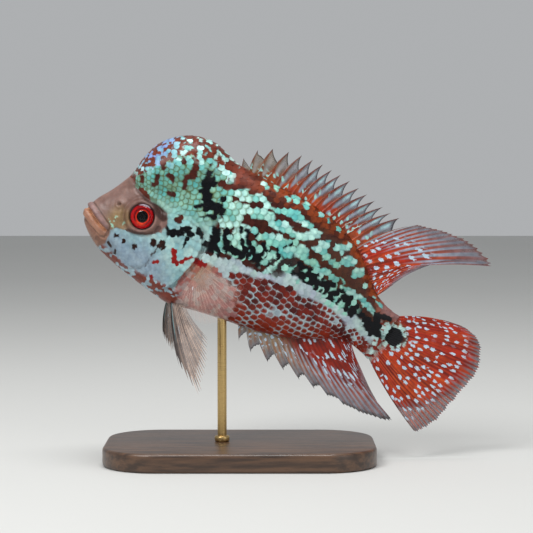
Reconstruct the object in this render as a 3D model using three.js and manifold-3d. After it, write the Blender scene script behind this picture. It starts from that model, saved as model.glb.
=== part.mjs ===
// A flowerhorn cichlid as a life-size museum model, swimming nose up on a plain rod stand.
// Millimetres, +Z up. The head points towards -X and the fish's left side towards -Y.
// The fish is drawn in its own frame: s runs back from the snout, h is up the back, y is sideways.
import * as THREE from "three";
import { mergeVertices } from "three/addons/utils/BufferGeometryUtils.js";
import Module from "manifold-3d";

const wasm = await Module();
wasm.setup();

// Driving dimensions
const nosePitch = THREE.MathUtils.degToRad(21);
const snoutX = -75.4;
const snoutZ = 119.6;
const seamGap = 0.3;
const baseLength = 130;
const baseDepth = 84;
const baseThickness = 9;
const baseBevel = 1.5;
const baseCorner = 26;
const rodRadius = 2.2;
const rodSection = 14.55;
const rodSink = 6;
const tailBendStart = 95;
const tailBendReach = 110;
const tailBend = 7;

// One row for each section of the body, from the snout to the tail root:
// back s, back h, belly s, belly h, half width, height of the widest place,
// half width of the nuchal hump, and how far the hump comes down the section.
const sections = [
  [1.6, 2.7, 1.6, -1.4, 2.6, 0.5, 0, 0.2],
  [2.6, 5.4, 2.8, -4.6, 4.4, 0.48, 0, 0.2],
  [5, 9.6, 7.9, -9.8, 6.4, 0.45, 0, 0.2],
  [9.2, 14.8, 14.8, -14.4, 8.3, 0.44, 0, 0.2],
  [13.1, 20.7, 23.3, -17.8, 10.2, 0.43, 3.4, 0.2],
  [16.1, 26.4, 31, -20.5, 11.8, 0.42, 8, 0.24],
  [18.2, 34.5, 37.3, -22.2, 13, 0.41, 12.2, 0.31],
  [22.1, 42.9, 41.9, -23.5, 14, 0.41, 14.7, 0.4],
  [28.9, 49.4, 45.4, -24.5, 14.8, 0.42, 15.6, 0.45],
  [37.7, 53.3, 48.2, -25.2, 15.4, 0.42, 15.6, 0.46],
  [47.3, 53.6, 50.5, -25.8, 15.9, 0.43, 14, 0.45],
  [55.1, 50.7, 52.8, -26.2, 16.2, 0.44, 11.3, 0.42],
  [61.6, 48, 56.4, -26, 16.4, 0.45, 8, 0.4],
  [70.7, 46.6, 64.6, -25.2, 16.3, 0.47, 5.3, 0.38],
  [81.6, 45.2, 74.6, -24.4, 15.8, 0.49, 3.4, 0.35],
  [92, 44, 85.9, -24, 14.8, 0.5, 2.3, 0.3],
  [101.6, 42.6, 97.5, -23.5, 13.3, 0.51, 1.1, 0.3],
  [111.5, 40, 109.8, -21.9, 11.4, 0.52, 0, 0.3],
  [120.1, 36.6, 120.4, -19, 9.6, 0.52, 0, 0.3],
  [128.2, 31.6, 128.9, -15.7, 8, 0.51, 0, 0.3],
  [135.3, 25, 135, -13.2, 6.8, 0.5, 0, 0.3],
  [141.1, 18.4, 139.6, -12.6, 5.8, 0.5, 0, 0.3],
  [146, 13.6, 143.4, -13.2, 4.9, 0.5, 0, 0.3],
  [151.3, 10.4, 146.9, -14.3, 3.8, 0.5, 0, 0.3],
  [156.1, 8.5, 149.9, -15.5, 2.7, 0.5, 0, 0.3],
  [160.1, 7.5, 153.2, -17.3, 1.6, 0.5, 0, 0.3],
];
const lastSection = sections.length - 1;
const headEnd = 12.2;
const trunkEnd = 21;
const ringSides = 32;
const creaseSoftness = 0.6;

// A smooth value of one column of the section table, at section number t.
function sectionValue(column, t) {
  const i = Math.min(Math.max(Math.floor(t), 0), lastSection - 1);
  const f = t - i;
  const at = (k) => sections[Math.min(Math.max(k, 0), lastSection)][column];
  const [a, b, c, d] = [at(i - 1), at(i), at(i + 1), at(i + 2)];
  return b + 0.5 * f * (c - a + f * (2 * a - 5 * b + 4 * c - d + f * (3 * (b - c) + d - a)));
}

function sectionLine(t) {
  return {
    back: new THREE.Vector2(sectionValue(0, t), sectionValue(1, t)),
    belly: new THREE.Vector2(sectionValue(2, t), sectionValue(3, t)),
  };
}

// Half width of the body at section t and height u, from 0 at the belly to 1 at the back.
function halfWidth(t, u) {
  const widest = sectionValue(5, t);
  const away = u < widest ? (widest - u) / widest : (u - widest) / (1 - widest);
  const bodyPower = u < widest ? 2.1 : 2.0;
  const body = sectionValue(4, t) * Math.sqrt(Math.max(0, 1 - Math.pow(away, bodyPower)));
  const drop = sectionValue(7, t);
  const lobe = (u - (1 - drop / 2)) / (drop / 2);
  const hump = Math.max(0, sectionValue(6, t)) * Math.sqrt(Math.max(0, 1 - lobe * lobe));
  const nearer = Math.max(creaseSoftness - Math.abs(body - hump), 0) / creaseSoftness;
  return Math.max(body, hump) + (nearer * nearer * creaseSoftness * Math.min(1, Math.min(body, hump))) / 4;
}

// A point on the skin: angle 0 is the belly, a half turn is the back, and positive y is the right side.
function skinPoint(t, angle) {
  const { back, belly } = sectionLine(t);
  const u = (1 - Math.cos(angle)) / 2;
  const side = Math.sin(angle) < 0 ? -1 : 1;
  const y = Math.abs(Math.sin(angle)) < 1e-9 ? 0 : side * halfWidth(t, u);
  return new THREE.Vector3(
    THREE.MathUtils.lerp(belly.x, back.x, u),
    y,
    THREE.MathUtils.lerp(belly.y, back.y, u),
  );
}

// The section and height at which a side-view point lies.
function locate(s, h) {
  const beside = (t) => {
    const { back, belly } = sectionLine(t);
    return (back.x - belly.x) * (h - belly.y) - (back.y - belly.y) * (s - belly.x);
  };
  let low = 0;
  let high = lastSection;
  for (let i = 0; i < 40; i++) {
    const middle = (low + high) / 2;
    if (beside(middle) < 0) low = middle;
    else high = middle;
  }
  const { back, belly } = sectionLine(low);
  const along = back.clone().sub(belly);
  return { t: low, u: new THREE.Vector2(s, h).sub(belly).dot(along) / along.lengthSq() };
}

function widthAt(s, h) {
  const { t, u } = locate(s, h);
  return halfWidth(t, THREE.MathUtils.clamp(u, 0.001, 0.999));
}

// A point raised off the skin of one side (-1 left, 1 right) over a side-view point.
function raisedPoint(s, h, side, height) {
  const step = 0.4;
  const slopeS = (widthAt(s + step, h) - widthAt(s - step, h)) / (2 * step);
  const slopeH = (widthAt(s, h + step) - widthAt(s, h - step)) / (2 * step);
  const normal = new THREE.Vector3(-slopeS, 1, -slopeH).normalize();
  normal.y *= side;
  return new THREE.Vector3(s, side * widthAt(s, h), h).addScaledVector(normal, height);
}

// Closed mesh helpers
function geometryOf(points, faces) {
  const geometry = new THREE.BufferGeometry();
  const flat = points.flatMap((p) => [p.x, p.y, p.z]);
  geometry.setAttribute("position", new THREE.Float32BufferAttribute(flat, 3));
  geometry.setIndex(faces.flat());
  return geometry;
}

// Rings of equal length joined into a closed tube, with a fan over each end.
function loft(rings) {
  const sides = rings[0].length;
  const points = rings.flat();
  const faces = [];
  for (let i = 0; i + 1 < rings.length; i++)
    for (let j = 0; j < sides; j++) {
      const a = i * sides + j;
      const b = i * sides + ((j + 1) % sides);
      faces.push([a, b, b + sides], [a, b + sides, a + sides]);
    }
  for (const [start, turned] of [[0, true], [(rings.length - 1) * sides, false]]) {
    const ring = points.slice(start, start + sides);
    const middle = ring.reduce((sum, p) => sum.add(p), new THREE.Vector3()).divideScalar(sides);
    const hub = points.push(middle) - 1;
    for (let j = 0; j < sides; j++) {
      const a = start + j;
      const b = start + ((j + 1) % sides);
      faces.push(turned ? [hub, b, a] : [hub, a, b]);
    }
  }
  return geometryOf(points, faces);
}

function solid(geometry) {
  const plain = geometry.clone();
  plain.deleteAttribute("normal");
  plain.deleteAttribute("uv");
  const merged = mergeVertices(plain, 1e-4);
  const made = new wasm.Manifold(
    new wasm.Mesh({
      numProp: 3,
      vertProperties: merged.attributes.position.array,
      triVerts: new Uint32Array(merged.index.array),
    }),
  );
  if (made.volume() >= 0) return made;
  const turned = new Uint32Array(merged.index.array);
  for (let i = 0; i < turned.length; i += 3) [turned[i + 1], turned[i + 2]] = [turned[i + 2], turned[i + 1]];
  return new wasm.Manifold(
    new wasm.Mesh({ numProp: 3, vertProperties: merged.attributes.position.array, triVerts: turned }),
  );
}

const largest = (made) => made.decompose().sort((a, b) => b.volume() - a.volume())[0];

// A length of the body between two sections, moved out by "swell" on every side.
function bodyLength(from, to, steps, swell = 0, trimFront = 0, trimBack = 0) {
  const rings = [];
  for (let i = 0; i <= steps; i++) {
    const t = THREE.MathUtils.lerp(from, to, i / steps);
    const { back, belly } = sectionLine(t);
    const up = back.clone().sub(belly).normalize();
    const rear = new THREE.Vector2(up.y, -up.x);
    const shift = i === 0 ? trimFront : i === steps ? -trimBack : 0;
    const ring = [];
    for (let j = 0; j < ringSides; j++) {
      const angle = (j / ringSides) * Math.PI * 2;
      const point = skinPoint(t, angle);
      point.x += up.x * swell * -Math.cos(angle) + rear.x * shift;
      point.z += up.y * swell * -Math.cos(angle) + rear.y * shift;
      point.y += swell * Math.sin(angle);
      ring.push(point);
    }
    rings.push(ring);
  }
  return solid(loft(rings));
}

// A prism right through the fish from a side-view outline, grown outwards by "grow".
function sideCutter(outline, grow) {
  const shape = new THREE.Shape(
    outline.map(([s, h], i) => {
      const before = outline[(i + outline.length - 1) % outline.length];
      const after = outline[(i + 1) % outline.length];
      const way = new THREE.Vector2(after[0] - before[0], after[1] - before[1]).normalize();
      return new THREE.Vector2(s + way.y * grow, h - way.x * grow);
    }),
  );
  const depth = 80;
  const geometry = new THREE.ExtrudeGeometry(shape, { depth, bevelEnabled: false, steps: 1 });
  geometry.rotateX(Math.PI / 2);
  geometry.translate(0, depth / 2, 0);
  return solid(geometry);
}

// A round roll that follows a path, thin at both ends.
function roll(path, thickness, sides, steps) {
  const curve = new THREE.CatmullRomCurve3(path);
  const frames = curve.computeFrenetFrames(steps);
  const rings = [];
  for (let i = 0; i <= steps; i++) {
    const centre = curve.getPointAt(i / steps);
    const radius = thickness * (0.55 + 0.45 * Math.sin((Math.PI * i) / steps));
    const ring = [];
    for (let j = 0; j < sides; j++) {
      const angle = (j / sides) * Math.PI * 2;
      ring.push(
        centre
          .clone()
          .addScaledVector(frames.normals[i], Math.cos(angle) * radius)
          .addScaledVector(frames.binormals[i], Math.sin(angle) * radius),
      );
    }
    rings.push(ring);
  }
  return solid(loft(rings));
}

// Head, with the nuchal hump and the lower jaw parted from it
const headSteps = 24;
const humpOutline = [
  [8, 26.5], [16.4, 24.2], [21.8, 19.8], [28.4, 17.2], [37, 16.4],
  [46, 19.4], [53, 25], [58.5, 31.5], [67, 38], [67, 60], [50, 66], [20, 60],
];
const jawOutline = [
  [-6, 6.6], [-6, -24], [17, -24], [16.8, -14], [15.2, -7.6], [13.7, -3.6], [7.7, -0.1], [1.2, 3.2],
];
const upperLipLine = [[12.9, -2.4], [10.2, -0.7], [7.0, 1.4], [4.2, 3.2], [2.9, 4.2]];
const lowerLipLine = [[12.9, -4.9], [9.6, -3.4], [6.2, -1.6], [3.0, 0.5], [1.5, 1.6]];
const lipThickness = 1.55;
const lipSink = 0.45;

function lip(line, front) {
  const leftSide = line.map(([s, h]) => raisedPoint(s, h, -1, -lipSink));
  const rightSide = line.map(([s, h]) => raisedPoint(s, h, 1, -lipSink)).reverse();
  return roll([...leftSide, new THREE.Vector3(front[0], 0, front[1]), ...rightSide], lipThickness, 8, 18);
}

// Eyes, seated in sockets with a raised rim
const eyeAt = [28.0, 8.7];
const eyeRadius = 6.2;
const eyeBulge = 3.9;
const eyeSink = 2.3;
const rimRadius = 6.9;
const rimThickness = 1.1;
const nostrilAt = [15.7, 10.1];
const nostrilRadius = 1.0;

// Turns a shape made along +Y so that it faces out of the skin over a side-view point.
function facing(geometry, [s, h], side, height) {
  const foot = raisedPoint(s, h, side, height);
  const out = raisedPoint(s, h, side, height + 1).sub(foot).normalize();
  const turn = new THREE.Quaternion().setFromUnitVectors(new THREE.Vector3(0, 1, 0), out);
  return geometry.applyQuaternion(turn).translate(foot.x, foot.y, foot.z);
}

function eyeball(side, grow) {
  const ball = new THREE.SphereGeometry(1, 18, 11);
  ball.scale(eyeRadius + grow, eyeBulge + grow, eyeRadius + grow);
  return solid(facing(ball, eyeAt, side, -eyeSink));
}

function skinRing(at, side, radius, thickness, sides) {
  const ring = new THREE.TorusGeometry(radius, thickness, 6, sides);
  ring.rotateX(Math.PI / 2);
  return solid(facing(ring, at, side, -0.35 * thickness));
}

function nostrilPit(side) {
  return solid(facing(new THREE.CylinderGeometry(0.55, 0.4, 3, 8), nostrilAt, side, 0));
}

const headWhole = bodyLength(0, headEnd, headSteps, 0, 0, seamGap / 2);
const skinSwollen = bodyLength(0, lastSection, 50, seamGap);

let head = headWhole.subtract(sideCutter(jawOutline, seamGap / 2));
head = head.add(lip(upperLipLine, [2.2, 4.9]).subtract(sideCutter(jawOutline, seamGap / 2)));
for (const side of [-1, 1]) {
  head = head
    .add(skinRing(eyeAt, side, rimRadius, rimThickness, 18))
    .add(skinRing(nostrilAt, side, nostrilRadius, 0.5, 10))
    .subtract(eyeball(side, seamGap))
    .subtract(nostrilPit(side));
}
const hump = headWhole.intersect(sideCutter(humpOutline, -seamGap / 2));
head = largest(head.subtract(sideCutter(humpOutline, seamGap / 2)));

const jaw = headWhole
  .add(lip(lowerLipLine, [0.6, 1.5]))
  .intersect(sideCutter(jawOutline, -seamGap / 2));

// Gill covers: plates that rise towards their free rear edge
const gillFront = [[47.0, 16.6], [42.8, 6.4], [41.0, -3.8], [39.4, -11.2], [41.2, -17.0]];
const gillRear = [[49.4, 17.6], [58.3, 10.2], [59.6, 2.4], [56.6, -8.2], [47.0, -19.2]];
const gillThickness = [0.35, 1.25];

function gillCover(side) {
  const rows = 8;
  const columns = 10;
  const curve = (points) => new THREE.SplineCurve(points.map(([s, h]) => new THREE.Vector2(s, h)));
  const front = curve(gillFront);
  const rear = curve(gillRear);
  const rings = [];
  for (let i = 0; i <= rows; i++) {
    const a = front.getPoint(i / rows);
    const b = rear.getPoint(i / rows);
    const outer = [];
    const inner = [];
    for (let j = 0; j <= columns; j++) {
      const at = a.clone().lerp(b, j / columns);
      const height = THREE.MathUtils.lerp(...gillThickness, Math.pow(j / columns, 0.7));
      outer.push(raisedPoint(at.x, at.y, side, seamGap + height));
      inner.push(raisedPoint(at.x, at.y, side, seamGap));
    }
    rings.push([...outer, ...inner.reverse()]);
  }
  return solid(loft(rings));
}

// Fins: a fan of rays, each raised as a ridge on both faces of a thin web
const webThickness = 0.56;
const rayFootprint = 0.2;

// rays: for each ray its root, a point that bends it, and its tip, as vectors in the fish's frame.
// notch: how far the web falls back from one ray's tip to the next.
function fan(rays, { rayThickness, notch, rows, across }) {
  const blend = (k, a) => {
    const i = Math.min(Math.floor(a), rays.length - 2);
    return rays[i][k].clone().lerp(rays[i + 1][k], a - i);
  };
  const along = (a, b) => {
    const [root, bend, tip] = [0, 1, 2].map((k) => blend(k, a));
    return root
      .multiplyScalar((1 - b) * (1 - b))
      .addScaledVector(bend, 2 * b * (1 - b))
      .addScaledVector(tip, b * b);
  };
  const columns = [0];
  for (let i = 0; i + 1 < rays.length; i++) columns.push(i + rayFootprint, i + 1 - rayFootprint, i + 1);
  const outerFace = [];
  const innerFace = [];
  for (const a of columns) {
    const part = a - Math.floor(a);
    const onRay = part === 0;
    const reach = onRay ? 1 : 1 - notch * part;
    for (let r = 0; r <= rows; r++) {
      const b = (r / rows) * reach;
      const point = along(a, b);
      const outwards = across
        ? across.clone()
        : along(Math.min(a + 0.3, rays.length - 1), b)
            .sub(along(Math.max(a - 0.3, 0), b))
            .cross(along(a, Math.min(b + 0.1, 1)).sub(along(a, b - 0.1)))
            .normalize();
      const full = onRay ? rayThickness : webThickness;
      const half = (full / 2) * THREE.MathUtils.lerp(1, r === rows ? 0.35 : 0.6, r / rows);
      outerFace.push(point.clone().addScaledVector(outwards, Math.max(half, 0.12)));
      innerFace.push(point.clone().addScaledVector(outwards, -Math.max(half, 0.12)));
    }
  }
  const span = rows + 1;
  const count = outerFace.length;
  const faces = [];
  for (let i = 0; i + 1 < columns.length; i++)
    for (let r = 0; r < rows; r++) {
      const a = i * span + r;
      faces.push([a, a + 1, a + span + 1], [a, a + span + 1, a + span]);
      faces.push([count + a, count + a + span + 1, count + a + 1]);
      faces.push([count + a, count + a + span, count + a + span + 1]);
    }
  const wall = (p, q) => faces.push([p, count + p, count + q], [p, count + q, q]);
  const end = (columns.length - 1) * span;
  for (let r = 0; r < rows; r++) {
    wall(r, r + 1);
    wall(end + r + 1, end + r);
  }
  for (let i = 0; i + 1 < columns.length; i++) {
    wall((i + 1) * span, i * span);
    wall(i * span + rows, (i + 1) * span + rows);
  }
  return solid(geometryOf([...outerFace, ...innerFace], faces));
}

const vector = (s, h, y = 0) => new THREE.Vector3(s, y, h);

// Rays of an upright fin. "bow" moves the middle of each ray sideways, as a share of its length.
function uprightRays(roots, tips, bow) {
  return tips.map(([s, h], i) => {
    const root = roots(i / (tips.length - 1));
    const tip = vector(s, h);
    const way = tip.clone().sub(root);
    const bend = root.clone().addScaledVector(way, 0.5);
    const amount = typeof bow === "number" ? bow : THREE.MathUtils.lerp(...bow, i / (tips.length - 1));
    bend.add(vector(-way.z * amount, way.x * amount));
    return [root, bend, tip];
  });
}

// Points along the back or the belly between two sections, sunk into the body.
function edgeRoots(edge, from, to, sink) {
  return (share) => {
    const line = sectionLine(THREE.MathUtils.lerp(from, to, share));
    const other = edge === "back" ? "belly" : "back";
    const inwards = line[other].clone().sub(line[edge]).normalize();
    const at = line[edge].clone().addScaledVector(inwards, sink);
    return vector(at.x, at.y);
  };
}

const upright = new THREE.Vector3(0, 1, 0);
const dorsalSpineTips = [
  [62.9, 51.9], [67.8, 57.9], [74.3, 60.9], [82.0, 62.3], [88.4, 63.0], [94.1, 62.9],
  [99.4, 62.6], [104.4, 61.7], [109.2, 61.0], [114.3, 59.8], [119.6, 58.2], [124.3, 56.7],
  [129.0, 55.2], [133.6, 53.8], [138.2, 52.5], [143.0, 51.8],
];
const dorsalRayTips = [
  [152.4, 51.8], [162.0, 53.2], [172.4, 53.6], [183.6, 51.6], [193.6, 46.1], [182.6, 45.6],
  [172.2, 41.0], [164.6, 35.4], [158.4, 29.6], [153.6, 23.8], [149.8, 17.4],
];
const analTips = [
  [92.1, -31.0], [99.5, -34.3], [108.9, -35.8], [117.4, -36.7], [126.3, -38.4], [134.6, -39.9],
  [142.2, -41.0], [151.0, -42.3], [159.5, -43.1], [167.4, -42.4], [175.1, -41.0], [168.8, -37.6],
  [163.2, -33.4], [158.0, -28.8], [152.8, -23.6], [147.4, -18.4],
];
const tailTips = [
  [183.4, 13.6], [190.6, 13.8], [196.6, 12.4], [201.2, 9.4], [204.0, 5.2], [205.3, 0.4],
  [205.4, -4.6], [204.2, -9.6], [202.6, -14.6], [200.6, -19.4], [198.8, -24.0], [197.2, -28.6],
  [195.4, -33.2], [192.9, -37.4], [190.2, -40.2], [187.6, -42.3],
];

const dorsalSpines = fan(uprightRays(edgeRoots("back", 12.4, 18.7, 3), dorsalSpineTips, [0.1, 0.13]), {
  rayThickness: 1.5, notch: 0.3, rows: 4, across: upright,
});
const dorsalRays = fan(uprightRays(edgeRoots("back", 18.95, 21.9, 3), dorsalRayTips, [0.1, 0.04]), {
  rayThickness: 1.1, notch: 0.05, rows: 6, across: upright,
});
const analFin = fan(uprightRays(edgeRoots("belly", 15.2, 21.2, 3), analTips, [-0.1, -0.02]), {
  rayThickness: 1.2, notch: 0.12, rows: 5, across: upright,
});
const tailRoots = (share) => {
  const { back, belly } = sectionLine(lastSection - 0.5);
  const at = back.clone().lerp(belly, 0.06 + 0.88 * share);
  return vector(at.x - 0.5, at.y);
};
const tailFin = fan(uprightRays(tailRoots, tailTips, [0.09, -0.06]), {
  rayThickness: 1.2, notch: 0.02, rows: 6, across: upright,
});

// A paired fin: rays spread between named tips, their roots along a short line on the skin.
function pairedRays(rootLine, tips, lift) {
  return tips.map(([s, h, y], i) => {
    const root = rootLine[0].clone().lerp(rootLine[1], i / (tips.length - 1));
    const tip = vector(s, h, y);
    const bend = root.clone().lerp(tip, 0.5).add(lift);
    return [root, bend, tip];
  });
}

const pectoralTips = [
  [58.6, -20.5, 27], [62.6, -24.0, 30], [67.2, -26.0, 32], [72.0, -26.6, 33.5], [76.6, -25.4, 34],
  [80.4, -22.6, 34], [83.2, -18.6, 33.5], [84.8, -14.0, 32.5], [85.2, -9.0, 31], [84.0, -4.4, 29],
];
function pectoralFin(side) {
  const mirrored = pectoralTips.map(([s, h, y]) => [s, h, y * side]);
  const rootLine = [raisedPoint(61.6, -8.6, side, -1.6), raisedPoint(61.4, -2.8, side, -1.6)];
  return fan(pairedRays(rootLine, mirrored, new THREE.Vector3(-1.5, 2.5 * side, -0.5)), {
    rayThickness: 0.9, notch: 0.04, rows: 4,
  });
}

const pelvicTipsLeft = [
  [69.5, -50.5, -15.5], [83.2, -60.1, -19], [82.6, -53.2, -18.5],
  [81.8, -46.6, -17.5], [80.4, -40.2, -16], [78.2, -34.2, -14],
];
const pelvicTipsRight = [
  [57.2, -44.5, 19], [63.2, -49.6, 24], [65.0, -47.4, 26],
  [67.0, -44.0, 26.5], [69.0, -40.4, 26], [70.6, -36.4, 24],
];
function pelvicFin(tips, side, from, to) {
  const rootLine = [vector(from[0], from[1], 3.2 * side), vector(to[0], to[1], 3.8 * side)];
  return fan(pairedRays(rootLine, tips, new THREE.Vector3(-2.4, 1.2 * side, -1)), {
    rayThickness: 1.1, notch: 0.1, rows: 5,
  });
}
const pelvicLeft = pelvicFin(pelvicTipsLeft, -1, [54.2, -23.4], [59.8, -22.2]);
const pelvicRight = pelvicFin(pelvicTipsRight, 1, [52.4, -23.6], [58.0, -22.6]);

// Bends the tail gently to one side, in the fish frame.
function bent(geometry) {
  const place = geometry.getAttribute("position");
  for (let i = 0; i < place.count; i++) {
    const past = Math.max(0, place.getX(i) - tailBendStart) / tailBendReach;
    place.setY(i, place.getY(i) + tailBend * past * past);
  }
  return geometry;
}

function geometryFrom(made) {
  const mesh = made.getMesh();
  const geometry = new THREE.BufferGeometry();
  const flat = new Float32Array(mesh.numVert * 3);
  for (let i = 0; i < mesh.numVert; i++)
    flat.set(mesh.vertProperties.subarray(i * mesh.numProp, i * mesh.numProp + 3), i * 3);
  geometry.setAttribute("position", new THREE.BufferAttribute(flat, 3));
  geometry.setIndex(new THREE.BufferAttribute(mesh.triVerts, 1));
  return geometry;
}

function material(color, roughness, metalness = 0) {
  return new THREE.MeshStandardMaterial({ color, roughness, metalness, flatShading: true });
}
const colours = {
  face: material(0x9c7768, 0.55),
  lip: material(0xb98a72, 0.5),
  hump: material(0x8a5a4c, 0.4),
  flank: material(0x7fb5ac, 0.4),
  gill: material(0x9fc4cb, 0.35),
  eye: material(0xb3161c, 0.08),
  fin: material(0xb4532f, 0.5),
  clearFin: material(0xb9aaa4, 0.5),
  brass: material(0xb08d4a, 0.3, 1),
  walnut: material(0x4a2f1f, 0.5),
};

const fish = new THREE.Group();
fish.position.set(snoutX, 0, snoutZ);
fish.rotation.y = nosePitch;

function addNode(name, made, look) {
  const mesh = new THREE.Mesh(bent(geometryFrom(largest(made))), look);
  mesh.name = name;
  fish.add(mesh);
}

addNode("head", head, colours.face);
addNode("nuchal_hump", hump, colours.hump);
addNode("lower_jaw", jaw, colours.lip);
addNode("eye_left", eyeball(-1, 0), colours.eye);
addNode("eye_right", eyeball(1, 0), colours.eye);
addNode("gill_cover_left", gillCover(-1), colours.gill);
addNode("gill_cover_right", gillCover(1), colours.gill);
addNode("trunk", bodyLength(headEnd, trunkEnd, 18, 0, seamGap / 2, seamGap / 2), colours.flank);
addNode("tail_stalk", bodyLength(trunkEnd, lastSection, 10, 0, seamGap / 2, 0), colours.flank);
addNode("dorsal_fin_spines", dorsalSpines.subtract(skinSwollen), colours.fin);
addNode("dorsal_fin_rays", dorsalRays.subtract(skinSwollen), colours.fin);
addNode("anal_fin", analFin.subtract(skinSwollen), colours.fin);
addNode("tail_fin", tailFin.subtract(skinSwollen), colours.fin);
addNode("pectoral_fin_left", pectoralFin(-1).subtract(skinSwollen), colours.clearFin);
addNode("pectoral_fin_right", pectoralFin(1).subtract(skinSwollen), colours.clearFin);
addNode("pelvic_fin_left", pelvicLeft.subtract(skinSwollen), colours.clearFin);
addNode("pelvic_fin_right", pelvicRight.subtract(skinSwollen), colours.clearFin);

// Stand: one rod up to the belly from a bevelled base
const part = new THREE.Group();
part.add(fish);
part.updateMatrixWorld(true);

function addStand(name, made, look) {
  const mesh = new THREE.Mesh(geometryFrom(largest(made)), look);
  mesh.name = name;
  part.add(mesh);
}

function standBase() {
  const long = baseLength / 2 - baseBevel;
  const deep = baseDepth / 2 - baseBevel;
  const corner = baseCorner - baseBevel;
  const shape = new THREE.Shape();
  shape.absarc(long - corner, deep - corner, corner, 0, Math.PI / 2);
  shape.absarc(corner - long, deep - corner, corner, Math.PI / 2, Math.PI);
  shape.absarc(corner - long, corner - deep, corner, Math.PI, 1.5 * Math.PI);
  shape.absarc(long - corner, corner - deep, corner, 1.5 * Math.PI, 2 * Math.PI);
  const base = new THREE.ExtrudeGeometry(shape, {
    depth: baseThickness - 2 * baseBevel,
    bevelThickness: baseBevel,
    bevelSize: baseBevel,
    bevelSegments: 2,
    curveSegments: 6,
  });
  return solid(base.translate(0, 0, baseBevel));
}

function standRod() {
  const line = sectionLine(rodSection);
  const top = fish.localToWorld(vector(line.belly.x, line.belly.y)).add(new THREE.Vector3(0, 0, rodSink));
  const bottom = baseThickness + seamGap;
  const rod = new THREE.CylinderGeometry(rodRadius, rodRadius, top.z - bottom, 24);
  rod.rotateX(Math.PI / 2).translate(top.x, 0, (top.z + bottom) / 2);
  const belly = geometryFrom(skinSwollen).applyMatrix4(fish.matrixWorld);
  return solid(rod).subtract(solid(belly));
}

addStand("stand_rod", standRod(), colours.brass);
addStand("stand_base", standBase(), colours.walnut);

export default part;
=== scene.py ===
import math
import bpy
import numpy as np
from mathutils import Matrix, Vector
from mathutils.bvhtree import BVHTree
from mathutils.kdtree import KDTree


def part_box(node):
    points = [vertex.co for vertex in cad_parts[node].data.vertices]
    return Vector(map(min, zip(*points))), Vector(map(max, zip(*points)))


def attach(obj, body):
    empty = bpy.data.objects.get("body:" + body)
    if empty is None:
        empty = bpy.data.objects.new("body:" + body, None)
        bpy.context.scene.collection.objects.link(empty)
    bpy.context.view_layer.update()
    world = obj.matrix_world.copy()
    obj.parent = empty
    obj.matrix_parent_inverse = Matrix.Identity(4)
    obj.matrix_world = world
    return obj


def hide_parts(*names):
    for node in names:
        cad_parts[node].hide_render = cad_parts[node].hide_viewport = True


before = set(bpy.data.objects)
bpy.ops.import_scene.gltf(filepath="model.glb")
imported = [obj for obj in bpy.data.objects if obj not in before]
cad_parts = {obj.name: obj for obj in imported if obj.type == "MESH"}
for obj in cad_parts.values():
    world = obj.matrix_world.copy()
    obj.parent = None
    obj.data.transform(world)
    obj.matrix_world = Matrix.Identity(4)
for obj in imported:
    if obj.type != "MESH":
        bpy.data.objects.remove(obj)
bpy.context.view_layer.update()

print("frame loaded")

# The fish is drawn in its own frame, in millimetres: s runs back from the snout, h is up, y is sideways
fish = {
    "nosePitch": math.radians(21),
    "snoutX": -75.4,
    "snoutZ": 119.6,
    "bendStart": 95,  # where the tail starts to bend away
    "bendReach": 110,
    "bend": 7,
}

# back s, back h, belly s, belly h, half width, height of the widest place, hump half width, hump drop
sections = np.array([
    [1.6, 2.7, 1.6, -1.4, 2.6, 0.5, 0, 0.2], [2.6, 5.4, 2.8, -4.6, 4.4, 0.48, 0, 0.2],
    [5, 9.6, 7.9, -9.8, 6.4, 0.45, 0, 0.2], [9.2, 14.8, 14.8, -14.4, 8.3, 0.44, 0, 0.2],
    [13.1, 20.7, 23.3, -17.8, 10.2, 0.43, 3.4, 0.2], [16.1, 26.4, 31, -20.5, 11.8, 0.42, 8, 0.24],
    [18.2, 34.5, 37.3, -22.2, 13, 0.41, 12.2, 0.31], [22.1, 42.9, 41.9, -23.5, 14, 0.41, 14.7, 0.4],
    [28.9, 49.4, 45.4, -24.5, 14.8, 0.42, 15.6, 0.45], [37.7, 53.3, 48.2, -25.2, 15.4, 0.42, 15.6, 0.46],
    [47.3, 53.6, 50.5, -25.8, 15.9, 0.43, 14, 0.45], [55.1, 50.7, 52.8, -26.2, 16.2, 0.44, 11.3, 0.42],
    [61.6, 48, 56.4, -26, 16.4, 0.45, 8, 0.4], [70.7, 46.6, 64.6, -25.2, 16.3, 0.47, 5.3, 0.38],
    [81.6, 45.2, 74.6, -24.4, 15.8, 0.49, 3.4, 0.35], [92, 44, 85.9, -24, 14.8, 0.5, 2.3, 0.3],
    [101.6, 42.6, 97.5, -23.5, 13.3, 0.51, 1.1, 0.3], [111.5, 40, 109.8, -21.9, 11.4, 0.52, 0, 0.3],
    [120.1, 36.6, 120.4, -19, 9.6, 0.52, 0, 0.3], [128.2, 31.6, 128.9, -15.7, 8, 0.51, 0, 0.3],
    [135.3, 25, 135, -13.2, 6.8, 0.5, 0, 0.3], [141.1, 18.4, 139.6, -12.6, 5.8, 0.5, 0, 0.3],
    [146, 13.6, 143.4, -13.2, 4.9, 0.5, 0, 0.3], [151.3, 10.4, 146.9, -14.3, 3.8, 0.5, 0, 0.3],
    [156.1, 8.5, 149.9, -15.5, 2.7, 0.5, 0, 0.3], [160.1, 7.5, 153.2, -17.3, 1.6, 0.5, 0, 0.3],
])
lastSection = len(sections) - 1
creaseSoftness = 0.6


# Places
def bendAt(s):
    past = np.maximum(0, s - fish["bendStart"]) / fish["bendReach"]
    return fish["bend"] * past * past


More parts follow.
